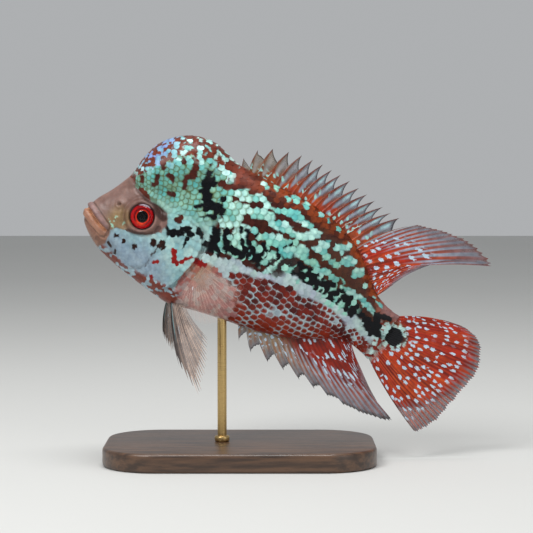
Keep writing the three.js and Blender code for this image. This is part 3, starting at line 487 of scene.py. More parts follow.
    # Stalk: brown above, bare at its end, and the eye spot on the tail's root
    end = step(150, 153, s) * step(1, -1, h + 0.5 * (s - 158) + n1) * (1 - black)
    speckle = softNoise(s / 1.25, h / 1.25, 25)
    ends = blend(hues["bellyRed"], hues["bellyDark"], step(-0.1, 0.5, n1) * 0.6)
    paler = step(0.0, 0.15, speckle + 0.3 * jitter + step(148, 156, s) * 0.1)
    ends = blend(ends, hues["pale"], paler * step(4, 0, h))
    look = cover(look, [ends, ends], end)
    far = farFrom(marks["eyeSpot"], s, h) + 0.7 * softNoise(s / 1.7, h / 1.7, 26)
    halo = step(7.3, 6.6, far + 1.3 * speckle) * step(-0.2, 0.0, speckle + 0.5 * (h - s + 164) / 9)
    look = stain(look, "cheekPale", halo * step(6, 3, h))
    look = stain(look, "black", step(4.7, 4.4, far))
    stalk = step(146, 152, s) * step(2.5, 5.5, h - np.interp(s, [140, 160], [4, 1]))
    look = stain(look, "stalkBare", stalk * (1 - bright) * (1 - black) * 0.8)
    # Bare face
    face = step(-0.4, 0.4, inside(s + 0.5 * n1, h + 0.5 * n2, marks["face"]))
    bare = blend(hues["face"], hues["facePink"], step(0.0, 0.9, softNoise(s / 7, h / 7, 31)) * 0.6)
    bare = blend(bare, hues["faceDark"], step(0.1, 0.8, softNoise(s / 5, h / 5, 32)) * 0.35)
    bare = blend(bare, hues["faceTan"], step(9, 3, farFrom((18.5, 3.5), s, h)) * 0.75)
    bare = blend(bare, hues["faceDark"], step(1.6, 0.0, np.abs(farFrom(eye["at"], s, h) - 8.3)) * 0.55)
    chin = step(3, -4, h + 0.35 * s - 2)
    bare = blend(bare, hues["tan"] * 0.75, chin * 0.5)
    bare = blend(bare, hues["faceDark"] * 0.7, chin * step(0.15, 0.6, softNoise(s / 2.2, h / 2.2, 34)) * 0.6)
    dots = step(0.2, 0.45, softNoise(s / 0.9, h / 0.9, 33))
    dots = dots * step(4.6, 2.0, np.hypot((s - 17.6) * 0.8, h - 1.2))
    bare = blend(bare, hues["mint"], dots * 0.8)
    crescent = step(1.5, 0.5, lineDistance(s, h + 0.3 * n1, marks["crescent"])[0] - 0.2)
    bare = blend(bare, hues["crease"], crescent * 0.8)
    # Painted shade: a dark band along the crease between the hump and the face, running on behind the eye
    behind = step(-0.5, 0.6, strokeDepth(s, h, marks["behindEye"]) + 0.4 * n1)
    crease = step(1.8, 0.5, lineDistance(s, h, marks["creaseLine"])[0]) * step(16, 26, s)
    bare = blend(bare, hues["crease"], np.maximum(behind, crease * 0.8) * 0.92)
    lip = lineDistance(s, h, mouth["upper"])[0]
    # Painted shade: a dark line in the groove around the upper lip
    bare = blend(bare, hues["crease"], step(0.55, 0.2, np.abs(lip - 2.45)) * 0.55)
    bare = blend(bare, hues["upperLip"], step(2.2, 1.5, lip) * 0.9)
    bare = blend(bare, hues["lowerLip"], step(2.2, 1.3, lineDistance(s, h, mouth["lower"])[0]) * 0.9)
    bare = blend(bare, hues["mouth"], step(1.1, 0.5, lineDistance(s, h, mouth["gap"])[0]))
    look = cover(look, [bare, bare], face)
    return look[0] * (1 + 0.14 * jitter)[..., None], look[1], rimShare, core


# Eyes and mouth, drawn from the side
eye = {"at": (28.0, 8.7), "radius": 6.6, "depth": 4.7, "sink": 2.2, "opening": 6.0}
mouth = {
    "upper": [(12.9, -2.2), (10.2, -0.5), (7.0, 1.6), (4.2, 3.4), (1.2, 5.0)],
    "lower": [(12.9, -5.1), (9.6, -3.6), (6.2, -1.8), (3.0, 0.3), (0.2, 1.6)],
    "gap": [(13.6, -3.8), (9.9, -2.05), (6.6, -0.1), (3.6, 1.85), (0.4, 3.4)],
    "lipReach": 2.0, "lipHeight": 1.25, "gapDepth": 1.8,
}
gill = {
    "edge": [(47.6, 18.2), (54.0, 14.6), (58.3, 10.2), (59.8, 4.2), (59.2, -1.6), (56.4, -9.0), (52.6, -17.0),
             (46, -22.6)],
    "preopercle": [(42.6, 8.0), (42.6, 1.5), (41.2, -4.2), (38.6, -10.9), (36.0, -15.0), (28.8, -17.6),
                   (20, -15.6)],
    "rise": 1.0,
}
nostril = {"at": (15.7, 10.1), "radius": 0.7, "depth": 0.9}


def relief(s, h, u):  # how far the skin stands out or sinks in, in millimetres
    out = np.zeros(np.shape(s))
    for name in ("upper", "lower"):
        far, _, along = lineDistance(s, h, mouth[name])
        swell = 0.75 + 0.25 * along if name == "upper" else 0.6 + 0.4 * along
        roll = np.sqrt(np.clip(1 - (far / mouth["lipReach"]) ** 2, 0, 1)) * mouth["lipHeight"] * swell
        out = np.maximum(out, roll)
        out -= 0.5 * bell(far - 2.5, 0.5)
    far, _, _ = lineDistance(s, h, mouth["gap"])
    out -= mouth["gapDepth"] * bell(far, 0.6)
    far = farFrom(nostril["at"], s, h)
    out += 0.3 * bell(far - 1.5, 0.5) - nostril["depth"] * np.exp(-((far / nostril["radius"]) ** 4))
    far, _, _ = lineDistance(s, h, marks["creaseLine"])
    out -= bell(far, 1.1) * step(44, 30, s)
    far, sign, along = lineDistance(s, h, gill["edge"])
    ends = step(0, 0.12, along) * step(1, 0.88, along)
    ahead = far * -sign  # the gill edge runs down, so its head side is on the right of it
    plate = gill["rise"] * step(-0.1, 0.35, ahead) * np.exp(-np.clip(ahead, 0, None) / 9)
    out += (plate - 0.9 * bell(ahead + 0.9, 0.9)) * ends
    far, sign, along = lineDistance(s, h, gill["preopercle"])
    out -= 0.45 * bell(far, 0.7) * step(0, 0.1, along) * step(1, 0.85, along)
    out += 0.25 * bell(far * sign + 2.0, 1.6) * step(1, 0.8, along)
    far = farFrom(eye["at"], s, h)
    lid = 0.85 * bell(far - 7.0, 1.1) - 0.45 * bell(far - 9.2, 0.8)
    lid -= 3.4 * step(eye["opening"] + 0.45, eye["opening"] - 0.5, far)
    out += lid
    out += 0.12 * softNoise(s / 2.2, h / 2.2, 41) * step(60, 40, s)
    return out * step(0.0, 0.03, u) * step(1.0, 0.97, u)


# Mesh tools
def pick(piece):
    bpy.ops.object.select_all(action="DESELECT")
    piece.select_set(True)
    bpy.context.view_layer.objects.active = piece


def setPlaces(piece, points):  # metres
    piece.data.vertices.foreach_set("co", np.asarray(points, np.float32).ravel())
    piece.data.update()


def getPlaces(piece):
    flat = np.empty(len(piece.data.vertices) * 3, np.float32)
    piece.data.vertices.foreach_get("co", flat)
    return flat.reshape(-1, 3).astype(float)


def newBall(around, rings):
    bpy.ops.object.select_all(action="DESELECT")
    bpy.ops.mesh.primitive_uv_sphere_add(segments=around, ring_count=rings, radius=1, location=(0, 0, 0))
    return bpy.context.object


def outwards(piece):
    pick(piece)
    bpy.ops.object.mode_set(mode="EDIT")
    bpy.ops.mesh.select_all(action="SELECT")
    bpy.ops.mesh.normals_make_consistent(inside=False)
    bpy.ops.object.mode_set(mode="OBJECT")


def smooth(piece, angle=180):
    pick(piece)
    if angle >= 180:
        bpy.ops.object.shade_smooth()
    else:
        bpy.ops.object.shade_smooth_by_angle(angle=math.radians(angle))


def setTint(piece, colours, name="tint"):
    layer = piece.data.color_attributes.new(name, "FLOAT_COLOR", "POINT")
    flat = np.ones((len(colours), 4), np.float32)
    flat[:, :3] = np.clip(colours, 0, 1)
    layer.data.foreach_set("color", flat.ravel())


def setShare(piece, values, name):
    layer = piece.data.attributes.new(name, "FLOAT", "POINT")
    layer.data.foreach_set("value", np.asarray(values, np.float32))


def finish(piece, name, look, nodes=()):
    piece.name = name
    piece.data.name = name
    piece.data.materials.clear()
    piece.data.materials.append(look)
    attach(piece, "root")
    if nodes:
        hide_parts(*nodes)
    return piece


# Material tools
def newLook(name, rough, coat=0.0, coatRough=0.1, level=0.5, metal=0.0):
    look = bpy.data.materials.new(name)
    look.use_nodes = True
    tree = look.node_tree
    shader = tree.nodes["Principled BSDF"]
    shader.inputs["Roughness"].default_value = rough
    shader.inputs["Coat Weight"].default_value = coat
    shader.inputs["Coat Roughness"].default_value = coatRough
    shader.inputs["Specular IOR Level"].default_value = level
    shader.inputs["Metallic"].default_value = metal
    return look, tree, shader


def addNode(tree, kind, **values):
    node = tree.nodes.new(kind)
    for key, value in values.items():
        if hasattr(node, key):
            setattr(node, key, value)
        else:
            node.inputs[key].default_value = value
    return node


def mixColours(tree, share, first, second, kind="MIX"):
    node = tree.nodes.new("ShaderNodeMix")
    node.data_type = "RGBA"
    node.blend_type = kind
    for place, value in ((0, share), (6, first), (7, second)):
        if isinstance(value, bpy.types.NodeSocket):
            tree.links.new(value, node.inputs[place])
        elif place == 0:
            node.inputs[0].default_value = value
        else:
            node.inputs[place].default_value = (*value, 1)
    return node.outputs[2]


def maths(tree, kind, first, second=None, clamp=False):
    node = addNode(tree, "ShaderNodeMath", operation=kind, use_clamp=clamp)
    for place, value in ((0, first), (1, second)):
        if isinstance(value, bpy.types.NodeSocket):
            tree.links.new(value, node.inputs[place])
        elif value is not None:
            node.inputs[place].default_value = value
    return node.outputs[0]


def times(tree, first, second):
    return maths(tree, "MULTIPLY", first, second)


def plus(tree, first, second):
    return maths(tree, "ADD", first, second)


def minus(tree, first, second):
    return maths(tree, "SUBTRACT", first, second)


def noiseNode(tree, where, scale, detail=3.0, rough=0.55):
    node = tree.nodes.new("ShaderNodeTexNoise")
    node.inputs["Scale"].default_value = scale
    node.inputs["Detail"].default_value = detail
    node.inputs["Roughness"].default_value = rough
    tree.links.new(where, node.inputs["Vector"])
    return node.outputs["Fac"]


def ramp(tree, source, low, high):
    node = tree.nodes.new("ShaderNodeMapRange")
    node.interpolation_type = "SMOOTHSTEP"
    tree.links.new(source, node.inputs["Value"])
    node.inputs["From Min"].default_value = low
    node.inputs["From Max"].default_value = high
    return node.outputs["Result"]


def bumpInto(tree, shader, height, strength, distance):
    node = tree.nodes.new("ShaderNodeBump")
    node.inputs["Strength"].default_value = strength
    node.inputs["Distance"].default_value = distance
    tree.links.new(height, node.inputs["Height"])
    tree.links.new(node.outputs["Normal"], shader.inputs["Normal"])


def objectPlace(tree):
    return tree.nodes.new("ShaderNodeTexCoord").outputs["Object"]


def tintNode(tree, name="tint"):
    return addNode(tree, "ShaderNodeVertexColor", layer_name=name).outputs["Color"]


def shareNode(tree, name):
    return addNode(tree, "ShaderNodeAttribute", attribute_name=name).outputs["Fac"]


def clouded(tree, cloud, low, high, dark, light):  # the piece's own colours, mottled
    colour = mixColours(tree, ramp(tree, cloud, low, high), dark, light)
    return mixColours(tree, 1.0, tintNode(tree), colour, "MULTIPLY")


def stretched(tree, scale):
    node = tree.nodes.new("ShaderNodeMapping")
    node.inputs["Scale"].default_value = scale
    tree.links.new(objectPlace(tree), node.inputs["Vector"])
    return node.outputs["Vector"]


def skinLook():
    look, tree, shader = newLook("wetSkin", 0.42, coat=0.08, coatRough=0.18, level=0.3)
    shader.inputs["Subsurface Weight"].default_value = 0.12
    shader.inputs["Subsurface Radius"].default_value = (0.0016, 0.0008, 0.0005)
    shader.inputs["Subsurface Scale"].default_value = 1.0
    where = objectPlace(tree)
    grain = noiseNode(tree, where, 900, 4)
    mottle = noiseNode(tree, where, 260, 3)
    colour = clouded(tree, mottle, 0.35, 0.7, (0.80, 0.78, 0.78), (1.12, 1.12, 1.1))
    pores = addNode(tree, "ShaderNodeTexVoronoi", feature="F1")
    pores.inputs["Scale"].default_value = 520
    tree.links.new(where, pores.inputs["Vector"])
    pit = ramp(tree, pores.outputs["Distance"], 0.0, 0.16)
    # Painted shade: each pore is darkened where it dents the skin
    colour = mixColours(tree, minus(tree, 1.0, pit), colour, (0.22, 0.13, 0.1))
    tree.links.new(colour, shader.inputs["Base Color"])
    height = plus(tree, times(tree, grain, 0.6), times(tree, pit, 0.5))
    bumpInto(tree, shader, height, 0.5, 0.0004)
    tree.links.new(plus(tree, times(tree, mottle, 0.3), 0.28), shader.inputs["Roughness"])
    return look


def scaleLook():
    look, tree, shader = newLook("wetScales", 0.3, coat=0.04, coatRough=0.1, level=0.17)
    where = objectPlace(tree)
    grain = noiseNode(tree, where, 1500, 3)
    cloud = noiseNode(tree, where, 420, 2)
    colour = clouded(tree, cloud, 0.3, 0.72, (0.82, 0.84, 0.86), (1.14, 1.12, 1.08))
    tree.links.new(colour, shader.inputs["Base Color"])
    bumpInto(tree, shader, grain, 0.35, 0.0002)
    tree.links.new(plus(tree, times(tree, cloud, 0.25), 0.2), shader.inputs["Roughness"])
    return look


# Skin: a sphere's rings pulled out to the fish's sections
skin = {"around": 256, "rings": 380, "headShare": 0.7, "headEnd": 13.0, "snoutRings": 6, "tailRings": 4}


def buildSkin():
    piece = newBall(skin["around"], skin["rings"])
    ball = getPlaces(piece)
    polar = np.arccos(np.clip(ball[:, 2], -1, 1)) / math.pi * skin["rings"]
    ring = np.rint(polar).astype(int)
    turn = np.arctan2(ball[:, 1], ball[:, 0])
    around = turn / math.pi  # -1 to 1: 0 at the belly, 1 at the back
    last = skin["rings"] - skin["tailRings"]
    f = np.clip((ring - skin["snoutRings"]) / (last - skin["snoutRings"]), 0, 1)
    share, end = skin["headShare"], skin["headEnd"]
    t = np.where(f < share, f / share * end, end + (f - share) / (1 - share) * (lastSection - end))
    side = np.where(around < 0, -1.0, 1.0)
    v = np.abs(around)
    points = skinAt(t, v, side)
    # Close the snout and the tail end with shrinking rings
    back, belly = sectionEnds(t)
    middle = (back + belly) / 2
    hub = np.stack([middle[:, 0], np.zeros(len(t)), middle[:, 1]], -1)
    share = np.ones(len(t))
    share = np.where(ring < skin["snoutRings"], np.sin(ring / skin["snoutRings"] * math.pi / 2), share)
    share = np.where(ring > last, np.sin((skin["rings"] - ring) / skin["tailRings"] * math.pi / 2), share)
    points = hub + (points - hub) * share[:, None]
    points[:, 0] -= np.where(ring < skin["snoutRings"], 0.9 * (1 - share), 0)
    points[:, 0] += np.where(ring > last, 0.8 * (1 - share), 0)
    setPlaces(piece, toFrame(points))
    outwards(piece)
    # Move the skin along its normals for lips, nostrils, lids, gill covers and creases
    normals = np.empty(len(points) * 3, np.float32)
    piece.data.vertices.foreach_get("normal", normals)
    normals = normals.reshape(-1, 3).astype(float)
    u = heightAt(t, v)
    moved = getPlaces(piece) + normals * (relief(points[:, 0], points[:, 2], u) * share)[:, None] * 0.001
    setPlaces(piece, moved)
    jitter = np.zeros(len(points))
    middle, rim, _, _ = paint(points[:, 0], points[:, 2], side, jitter)
    bare = step(0.2, 0.9, inside(points[:, 0], points[:, 2], marks["face"]))
    setTint(piece, blend(rim * 0.9, middle, bare))
    smooth(piece)
    flesh = ("head", "nuchal_hump", "lower_jaw", "gill_cover_left", "gill_cover_right", "trunk", "tail_stalk")
    return finish(piece, "fishSkin", skinLook(), flesh)


fishSkin = buildSkin()
print("skin:", len(fishSkin.data.vertices), "vertices")

# Scales: roots spread evenly over the skin, each a small domed plate that lies back along the body
coat = {
    # Width by s, in millimetres
    "size": [(16, 1.9), (30, 2.3), (44, 2.7), (62, 3.4), (100, 3.4), (135, 2.9), (160, 2.3)],
    "cheekSize": 2.2,
    "spokes": 12,
    "power": 1.75,  # 1 is a diamond, 2 is round
    "splitAt": 62,
    "dotAt": 0.22,  # a belly scale's dot sits back on the part that shows
    "rings": (0.35, 0.65, 0.85, 1.0),
    "lift": 0.26,  # how far a scale's rear stands off the skin, in millimetres
    "skirt": 0.24,
    "stray": 0.3,  # how far roots on the head start off their rows, as a share of the width
    "relaxSteps": 14,
    "paintShare": 0.5,  # how far a mark may cut across a scale
    "seed": 4,
}


def sizeAt(s, h):
    table = np.array(coat["size"])
    size = np.interp(s, table[:, 0], table[:, 1])
    cheek = step(62, 54, s) * step(20, 15, h)
    return size * (1 - cheek) + coat["cheekSize"] * cheek


def scaled(s, h):  # where scales grow: everywhere but the bare face, the gill slit and the stalk's top
    bare = inside(s, h, marks["face"]) > -0.6
    bare |= farFrom(eye["at"], s, h) < 10
    bare |= (s < 15) | ((s < 22) & (h < -8)) | ((s < 24) & (h > 15) & (h < 20))
    far, sign, along = lineDistance(s, h, gill["edge"])
    bare |= (far * sign > -0.2) & (far < 1.9) & (sign > 0) & (along > 0.05)
    return ~bare


def growRoots(rng):
    made = []
    for side in (-1.0, 1.0):
        line = np.linspace(3.2, lastSection - 0.15, 1200)
        place = skinAt(line, np.full(line.shape, 0.6), 1.0)
        run = np.concatenate([[0], np.cumsum(np.linalg.norm(np.diff(place, axis=0), axis=1))])
        x, column, rows = 0.0, 0, []
        while x < run[-1]:
            t = np.interp(x, run, line)
            size = float(sizeAt(np.interp(x, run, place[:, 0]), 30.0))
            count = max(3, int(round(np.interp(t, girthT, girthLength) / size)))
            v = (np.arange(count) + 0.25 + 0.5 * (column % 2)) / count
            rows.append(np.stack([np.full(v.shape, t), v], -1))
            x += size * 0.87
            column += 1
        grid = np.concatenate(rows)
        points = skinAt(grid[:, 0], grid[:, 1], side)
        stray = sizeAt(points[:, 0], points[:, 2]) * coat["stray"] * step(66, 58, points[:, 0])
        points[:, [0, 2]] += rng.uniform(-1, 1, (len(points), 2)) * stray[:, None]
        made.append(points)
    return made


def nearTree(world):
    near = KDTree(len(world))
    for i, place in enumerate(world):
        near.insert(place, i)
    near.balance()
    return near


def relax(points, tree):
    world = points.copy()
    for _ in range(coat["relaxSteps"]):
        near = nearTree(world)
        where = toFish(world)
        size = sizeAt(where[:, 0], where[:, 2]) * 0.001
        moved = world.copy()
        for i, place in enumerate(world):
            push = Vector((0, 0, 0))
            for other, index, far in near.find_n(place, 7):
                if index != i and far < size[i]:
                    away = Vector(place) - other
                    push += away * ((size[i] - far) / max(far, 1e-6)) * 0.28
            moved[i] = tree.find_nearest(Vector(place) + push)[0]
        world = moved
    # Drop roots that still crowd a neighbour
    near = nearTree(world)
    keep = np.ones(len(world), bool)
    for i, place in enumerate(world):
        if keep[i]:
            for other, index, far in near.find_range(place, float(size[i]) * 0.62):
                if index > i:
                    keep[index] = False
    return world[keep]


def scaleShape():
    # Corners and faces of one scale: rear towards +a, a rounded diamond, with a skirt under its rim
    spokes, rings, power = coat["spokes"], coat["rings"], coat["power"]
    angle = 2 * math.pi * (np.arange(spokes) + 0.5) / spokes
    roundness = (np.abs(np.cos(angle)) ** power + np.abs(np.sin(angle)) ** power) ** (-1 / power)
    ring = np.stack([np.cos(angle), np.sin(angle)], -1) * roundness[:, None]
    shape = np.vstack([[(0, 0)]] + [ring * radius for radius in rings] + [ring])
    reach = np.concatenate([[0]] + [np.full(spokes, radius) for radius in rings] + [np.ones(spokes)])
    last = 1 + len(rings) * spokes
    faces = [(0, 1 + k, 1 + (k + 1) % spokes) for k in range(spokes)]
    for start in range(1, last, spokes):
        for k in range(spokes):
            a, b = start + k, start + (k + 1) % spokes
            faces.append((a, a + spokes, b + spokes, b))
    faces.append(tuple(last + k for k in reversed(range(spokes))))
    return shape, reach, np.arange(len(shape)) >= last, faces


def buildScales(look):
    skinTree = BVHTree.FromObject(fishSkin, bpy.context.evaluated_depsgraph_get())
    rng = np.random.default_rng(coat["seed"])
    shape, reach, under, faces = scaleShape()
    perScale = len(shape)
    for side, points in zip((-1.0, 1.0), growRoots(rng)):
        world = relax(toFrame(points), skinTree)
        where = toFish(world)
        keep = scaled(where[:, 0], where[:, 2]) & (np.abs(where[:, 1]) > 0.15)
        world, where = world[keep], where[keep]
        jitter = rng.uniform(-1, 1, len(world))
        size = sizeAt(where[:, 0], where[:, 2]) * 0.001
        t, u = locate(where[:, 0], where[:, 2])
        section = np.rint(t / lastSection * (girth["sections"] - 1)).astype(int)
        v = np.array([np.interp(b, girthU, girthShare[a]) for a, b in zip(section, np.clip(u, 0, 1))])
        flow = toFrame(skinAt(np.clip(t + 0.06, 0, lastSection), v, side))
        flow = flow - toFrame(skinAt(np.clip(t - 0.06, 0, lastSection), v, side))
        flat = step(62, 58, where[:, 0]) * step(20, 12, where[:, 2])
        flat = np.maximum(flat, step(0, 2, inside(where[:, 0], where[:, 2], marks["chest"])))
        lift = coat["lift"] * (1 - 0.6 * flat)
        places = np.empty((len(world), perScale, 3))
        for i, place in enumerate(world):
            _, normal, _, _ = skinTree.find_nearest(Vector(place))
            along = Vector(flow[i])
            along = (along - normal * along.dot(normal)).normalized()
            across = normal.cross(along)
            for j, (a, b) in enumerate(shape):
                away = along * (a * 0.82 + 0.04) + across * b * 0.70
                probe = Vector(place) + away * size[i] * (1 + 0.06 * jitter[i])
                ground, up, _, _ = skinTree.find_nearest(probe)
                height = 0.03 + lift[i] * (0.25 + 0.75 * a) + 0.03 * (1 - reach[j] ** 2)
                height -= coat["skirt"] * under[j]
                places[i, j] = ground + up * (height * size[i] / 3.3)
        seen = toFish(places)
        seen = where[:, None, :] + (seen - where[:, None, :]) * coat["paintShare"]
        each = np.repeat(jitter, perScale).reshape(seen.shape[:2])
        middle, rim, rimShare, core = paint(seen[..., 0], seen[..., 2], side, each)
        fromDot = np.hypot(shape[:, 0] - coat["dotAt"], shape[:, 1])
        spotted = step(-0.5, 0.5, inside(where[:, 0], where[:, 2], marks["belly"]))[:, None]
        edge = reach * (1 - spotted) + fromDot * spotted - core
        edge = (step(-0.13, 0.13, edge) * rimShare)[..., None]
        # Painted shade: each scale darkens towards its front, where it lies under the scale ahead of it
        rear = (0.5 + 0.5 * np.clip(shape[:, 0], -1, 1))[None, :, None]
        tint = (middle * (1 - edge) + rim * edge) * (0.79 + 0.2 * rear)
        home = np.stack([0.02 + 0.46 * t / lastSection + (0.5 if side > 0 else 0), 0.03 + 0.94 * v], -1)
        chart = home[:, None, :] + (shape * 0.0015)[None, :, :]
        name = "Left" if side < 0 else "Right"
        ahead = where[:, 0] < coat["splitAt"]
        for part, chosen in (("headScales", ahead), ("flankScales", ~ahead)):
            count = int(chosen.sum())
            mesh = bpy.data.meshes.new(part)
            allFaces = [tuple(i * perScale + k for k in face) for i in range(count) for face in faces]
            mesh.from_pydata(places[chosen].reshape(-1, 3).tolist(), [], allFaces)
            piece = bpy.data.objects.new(part, mesh)
            bpy.context.collection.objects.link(piece)
            setTint(piece, tint[chosen].reshape(-1, 3))
            corner = np.empty(len(mesh.loops), np.int32)
            mesh.loops.foreach_get("vertex_index", corner)
            uv = chart[chosen].reshape(-1, 2)[corner]
            mesh.uv_layers.new(name="OFBake").data.foreach_set("uv", uv.astype(np.float32).ravel())
            smooth(piece, 50)
            finish(piece, part + name, look)
            print(part + name, count, "scales")


buildScales(scaleLook())
print("scales done")

# Fins: rays spread over a thin web
finTips = {
    "spines": [(62.9, 51.9), (67.8, 57.9), (74.3, 60.9), (82.0, 62.3), (88.4, 63.0), (94.1, 62.9),
               (99.4, 62.6), (104.4, 61.7), (109.2, 61.0), (114.3, 59.8), (119.6, 58.2), (124.3, 56.7),
               (129.0, 55.2), (133.6, 53.8), (138.2, 52.5), (143.0, 51.8), (151.8, 51.6)],
    "softRays": [(152.4, 51.8), (162.0, 53.2), (172.4, 53.6), (183.6, 51.6), (193.6, 46.1), (182.6, 45.6),
                 (172.2, 41.0), (164.6, 35.4), (158.4, 29.6), (153.6, 23.8), (149.8, 17.4)],
    "anal": [(92.1, -31.0), (99.5, -34.3), (108.9, -35.8), (117.4, -36.7), (126.3, -38.4), (134.6, -39.9),
             (142.2, -41.0), (151.0, -42.3), (159.5, -43.1), (167.4, -42.4), (175.1, -41.0), (168.8, -37.6),
             (163.2, -33.4), (158.0, -28.8), (152.8, -23.6), (147.4, -18.4)],
    "tail": [(183.4, 13.6), (190.6, 13.8), (196.6, 12.4), (201.2, 9.4), (204.0, 5.2), (205.3, 0.4),
             (205.4, -4.6), (204.2, -9.6), (202.6, -14.6), (200.6, -19.4), (198.8, -24.0), (197.2, -28.6),
             (195.4, -33.2), (192.9, -37.4), (190.2, -40.2), (187.6, -42.3)],
    "pectoral": [(58.6, -20.5, 27), (62.6, -24.0, 30), (67.2, -26.0, 32), (72.0, -26.6, 33.5),
                 (76.6, -25.4, 34), (80.4, -22.6, 34), (83.2, -18.6, 33.5), (84.8, -14.0, 32.5),
                 (85.2, -9.0, 31), (84.0, -4.4, 29)],
    "pelvicLeft": [(69.5, -50.5, -15.5), (83.2, -60.1, -19), (82.6, -53.2, -18.5), (81.8, -46.6, -17.5),
                   (80.4, -40.2, -16), (78.2, -34.2, -14)],
    "pelvicRight": [(57.2, -44.5, 19), (63.2, -49.6, 24), (65.0, -47.4, 26), (67.0, -44.0, 26.5),
                    (69.0, -40.4, 26), (70.6, -36.4, 24)],
}


def uprightRays(edge, first, last, sink, tips, bow):
    rays = []
    for i, (s, h) in enumerate(tips):
        share = i / (len(tips) - 1)
        if edge == "tail":
            back, belly = sectionEnds(np.array(lastSection - 0.5))
            at = back + (belly - back) * (0.06 + 0.88 * share)
            root = np.array([at[0] - 0.5, 0, at[1]])
        else:
            back, belly = sectionEnds(np.array(first + (last - first) * share))
            here, there = (back, belly) if edge == "back" else (belly, back)
            at = here + (there - here) / np.linalg.norm(there - here) * sink
            root = np.array([at[0], 0, at[1]])
        tip = np.array([s, 0, h])
        way = tip - root
        amount = bow[0] + (bow[1] - bow[0]) * share
        rays.append((root, root + way * 0.5 + np.array([-way[2] * amount, 0, way[0] * amount]), tip))
    return np.array(rays)


def sidePoint(s, h, side, height):
    def wide(a, b):
        t, u = locate(a, b)
        return float(halfWidth(t, np.clip(u, 0.001, 0.999)))
    reach = 0.4
    slope = np.array([-(wide(s + reach, h) - wide(s - reach, h)) / (2 * reach), 1,
                      -(wide(s, h + reach) - wide(s, h - reach)) / (2 * reach)])
    slope /= np.linalg.norm(slope)
    return np.array([s + slope[0] * height, side * (wide(s, h) + slope[1] * height), h + slope[2] * height])


def pairedRays(first, last, tips, lift):
    rays = []
    for i, tip in enumerate(tips):
        root = first + (last - first) * i / (len(tips) - 1)
        tip = np.array([tip[0], tip[2], tip[1]], float)
        rays.append((root, (root + tip) / 2 + lift, tip))
    return np.array(rays)


def rayBlend(rays, a):  # smooth values between rays
    a = np.clip(a, 0, len(rays) - 1)
    i = np.minimum(a.astype(int), len(rays) - 2)
    f = (a - i)[..., None, None]
    p0, p1, p2, p3 = (rays[np.clip(i + k, 0, len(rays) - 1)] for k in (-1, 0, 1, 2))
    return p1 + 0.5 * f * (p2 - p0 + f * (2 * p0 - 5 * p1 + 4 * p2 - p3 + f * (3 * (p1 - p2) + p3 - p0)))


def buildFin(name, rays, node, look, colourOf, perRay=20, rows=56, notch=0.05, ridge=0.3, split=2,
             web=0.11, wave=0.35, hard=False, frontNotch=0.0):
    last = len(rays) - 1
    across = last * perRay
    bpy.ops.object.select_all(action="DESELECT")
    bpy.ops.mesh.primitive_grid_add(x_subdivisions=across, y_subdivisions=rows, size=2, location=(0, 0, 0))
    piece = bpy.context.object
    flat = getPlaces(piece)
    a = (flat[:, 0] + 1) / 2 * last
    b = (flat[:, 1] + 1) / 2
    part = a - np.floor(a)
    if hard:
        deep = notch * (1 + 0.9 * step(1.6, 0.9, a))
        reach = 1 - deep * (part / 0.88) ** 0.8 * step(1.0, 0.88, part) - 0.03 * np.sin(part * math.pi)
    else:
        reach = 1 - notch * np.abs(np.sin(a * split * 2 * math.pi)) * 0.6
        reach += 0.012 * softNoise(a * 3.1, a * 0, 51)
        front = frontNotch * (step(0.6, 0.1, a / last) + 0.6 * step(2.2, 0.9, a))
        reach -= front * (part / 0.85) ** 0.8 * step(1.0, 0.85, part)

    def surface(aa, bb):
        ends = rayBlend(rays, aa)
        bb = bb[..., None]
        return ends[:, 0] * (1 - bb) ** 2 + ends[:, 1] * 2 * bb * (1 - bb) + ends[:, 2] * bb ** 2

    length = b * reach
    middle = surface(a, length)
    nudge = 0.02
    sideways = surface(np.clip(a + nudge, 0, last), length) - surface(np.clip(a - nudge, 0, last), length)
    endways = surface(a, length + nudge) - surface(a, length - nudge)
    normal = np.cross(sideways, endways)
    normal /= np.maximum(np.linalg.norm(normal, axis=1), 1e-9)[:, None]
    middle = middle + normal * (wave * np.sin(a * 2.1 + b * 2.5) * b ** 1.5)[:, None]
    lines = 1 if hard else split
    near = np.abs(a * lines - np.rint(a * lines)) / lines
    fork = np.abs(a * lines * 2 - np.rint(a * lines * 2)) / (lines * 2)
    width = 0.09 if hard else 0.2 / lines
    high = bell(near, width)
    if not hard:
        high = high * (1 - step(0.45, 0.7, b) * 0.35) + bell(fork, width * 0.6) * step(0.35, 0.6, b) * 0.5
        high = high * (0.82 + 0.18 * np.cos(b * rows * 1.1))  # joints of the soft rays
    half = web * (1 - 0.45 * b) + ridge * high * (1 - b) ** 0.7
    pick(piece)
    thick = piece.modifiers.new("web", "SOLIDIFY")
    thick.thickness = 0.2
    thick.offset = 0
    bpy.ops.object.modifier_apply(modifier=thick.name)
    solid = getPlaces(piece)
    count = len(flat)
    sign = np.where(solid[:count, 2] > solid[count:, 2], 1.0, -1.0)
    upper, lower = middle + normal * (half * sign)[:, None], middle - normal * (half * sign)[:, None]
    setPlaces(piece, toFrame(np.vstack([upper, lower])))
    outwards(piece)
    colour, sheer = colourOf(a / last, b, middle[:, 0], middle[:, 2], high, part)
    dotted = step(6.0, 6.8, farFrom(marks["eyeSpot"], middle[:, 0], middle[:, 2]))
    setShare(piece, np.concatenate([dotted, dotted]), "dotted")
    setTint(piece, np.vstack([colour, colour]))
    setShare(piece, np.concatenate([sheer, sheer]), "sheer")
    smooth(piece, 60)
    return finish(piece, name, look, (node,))


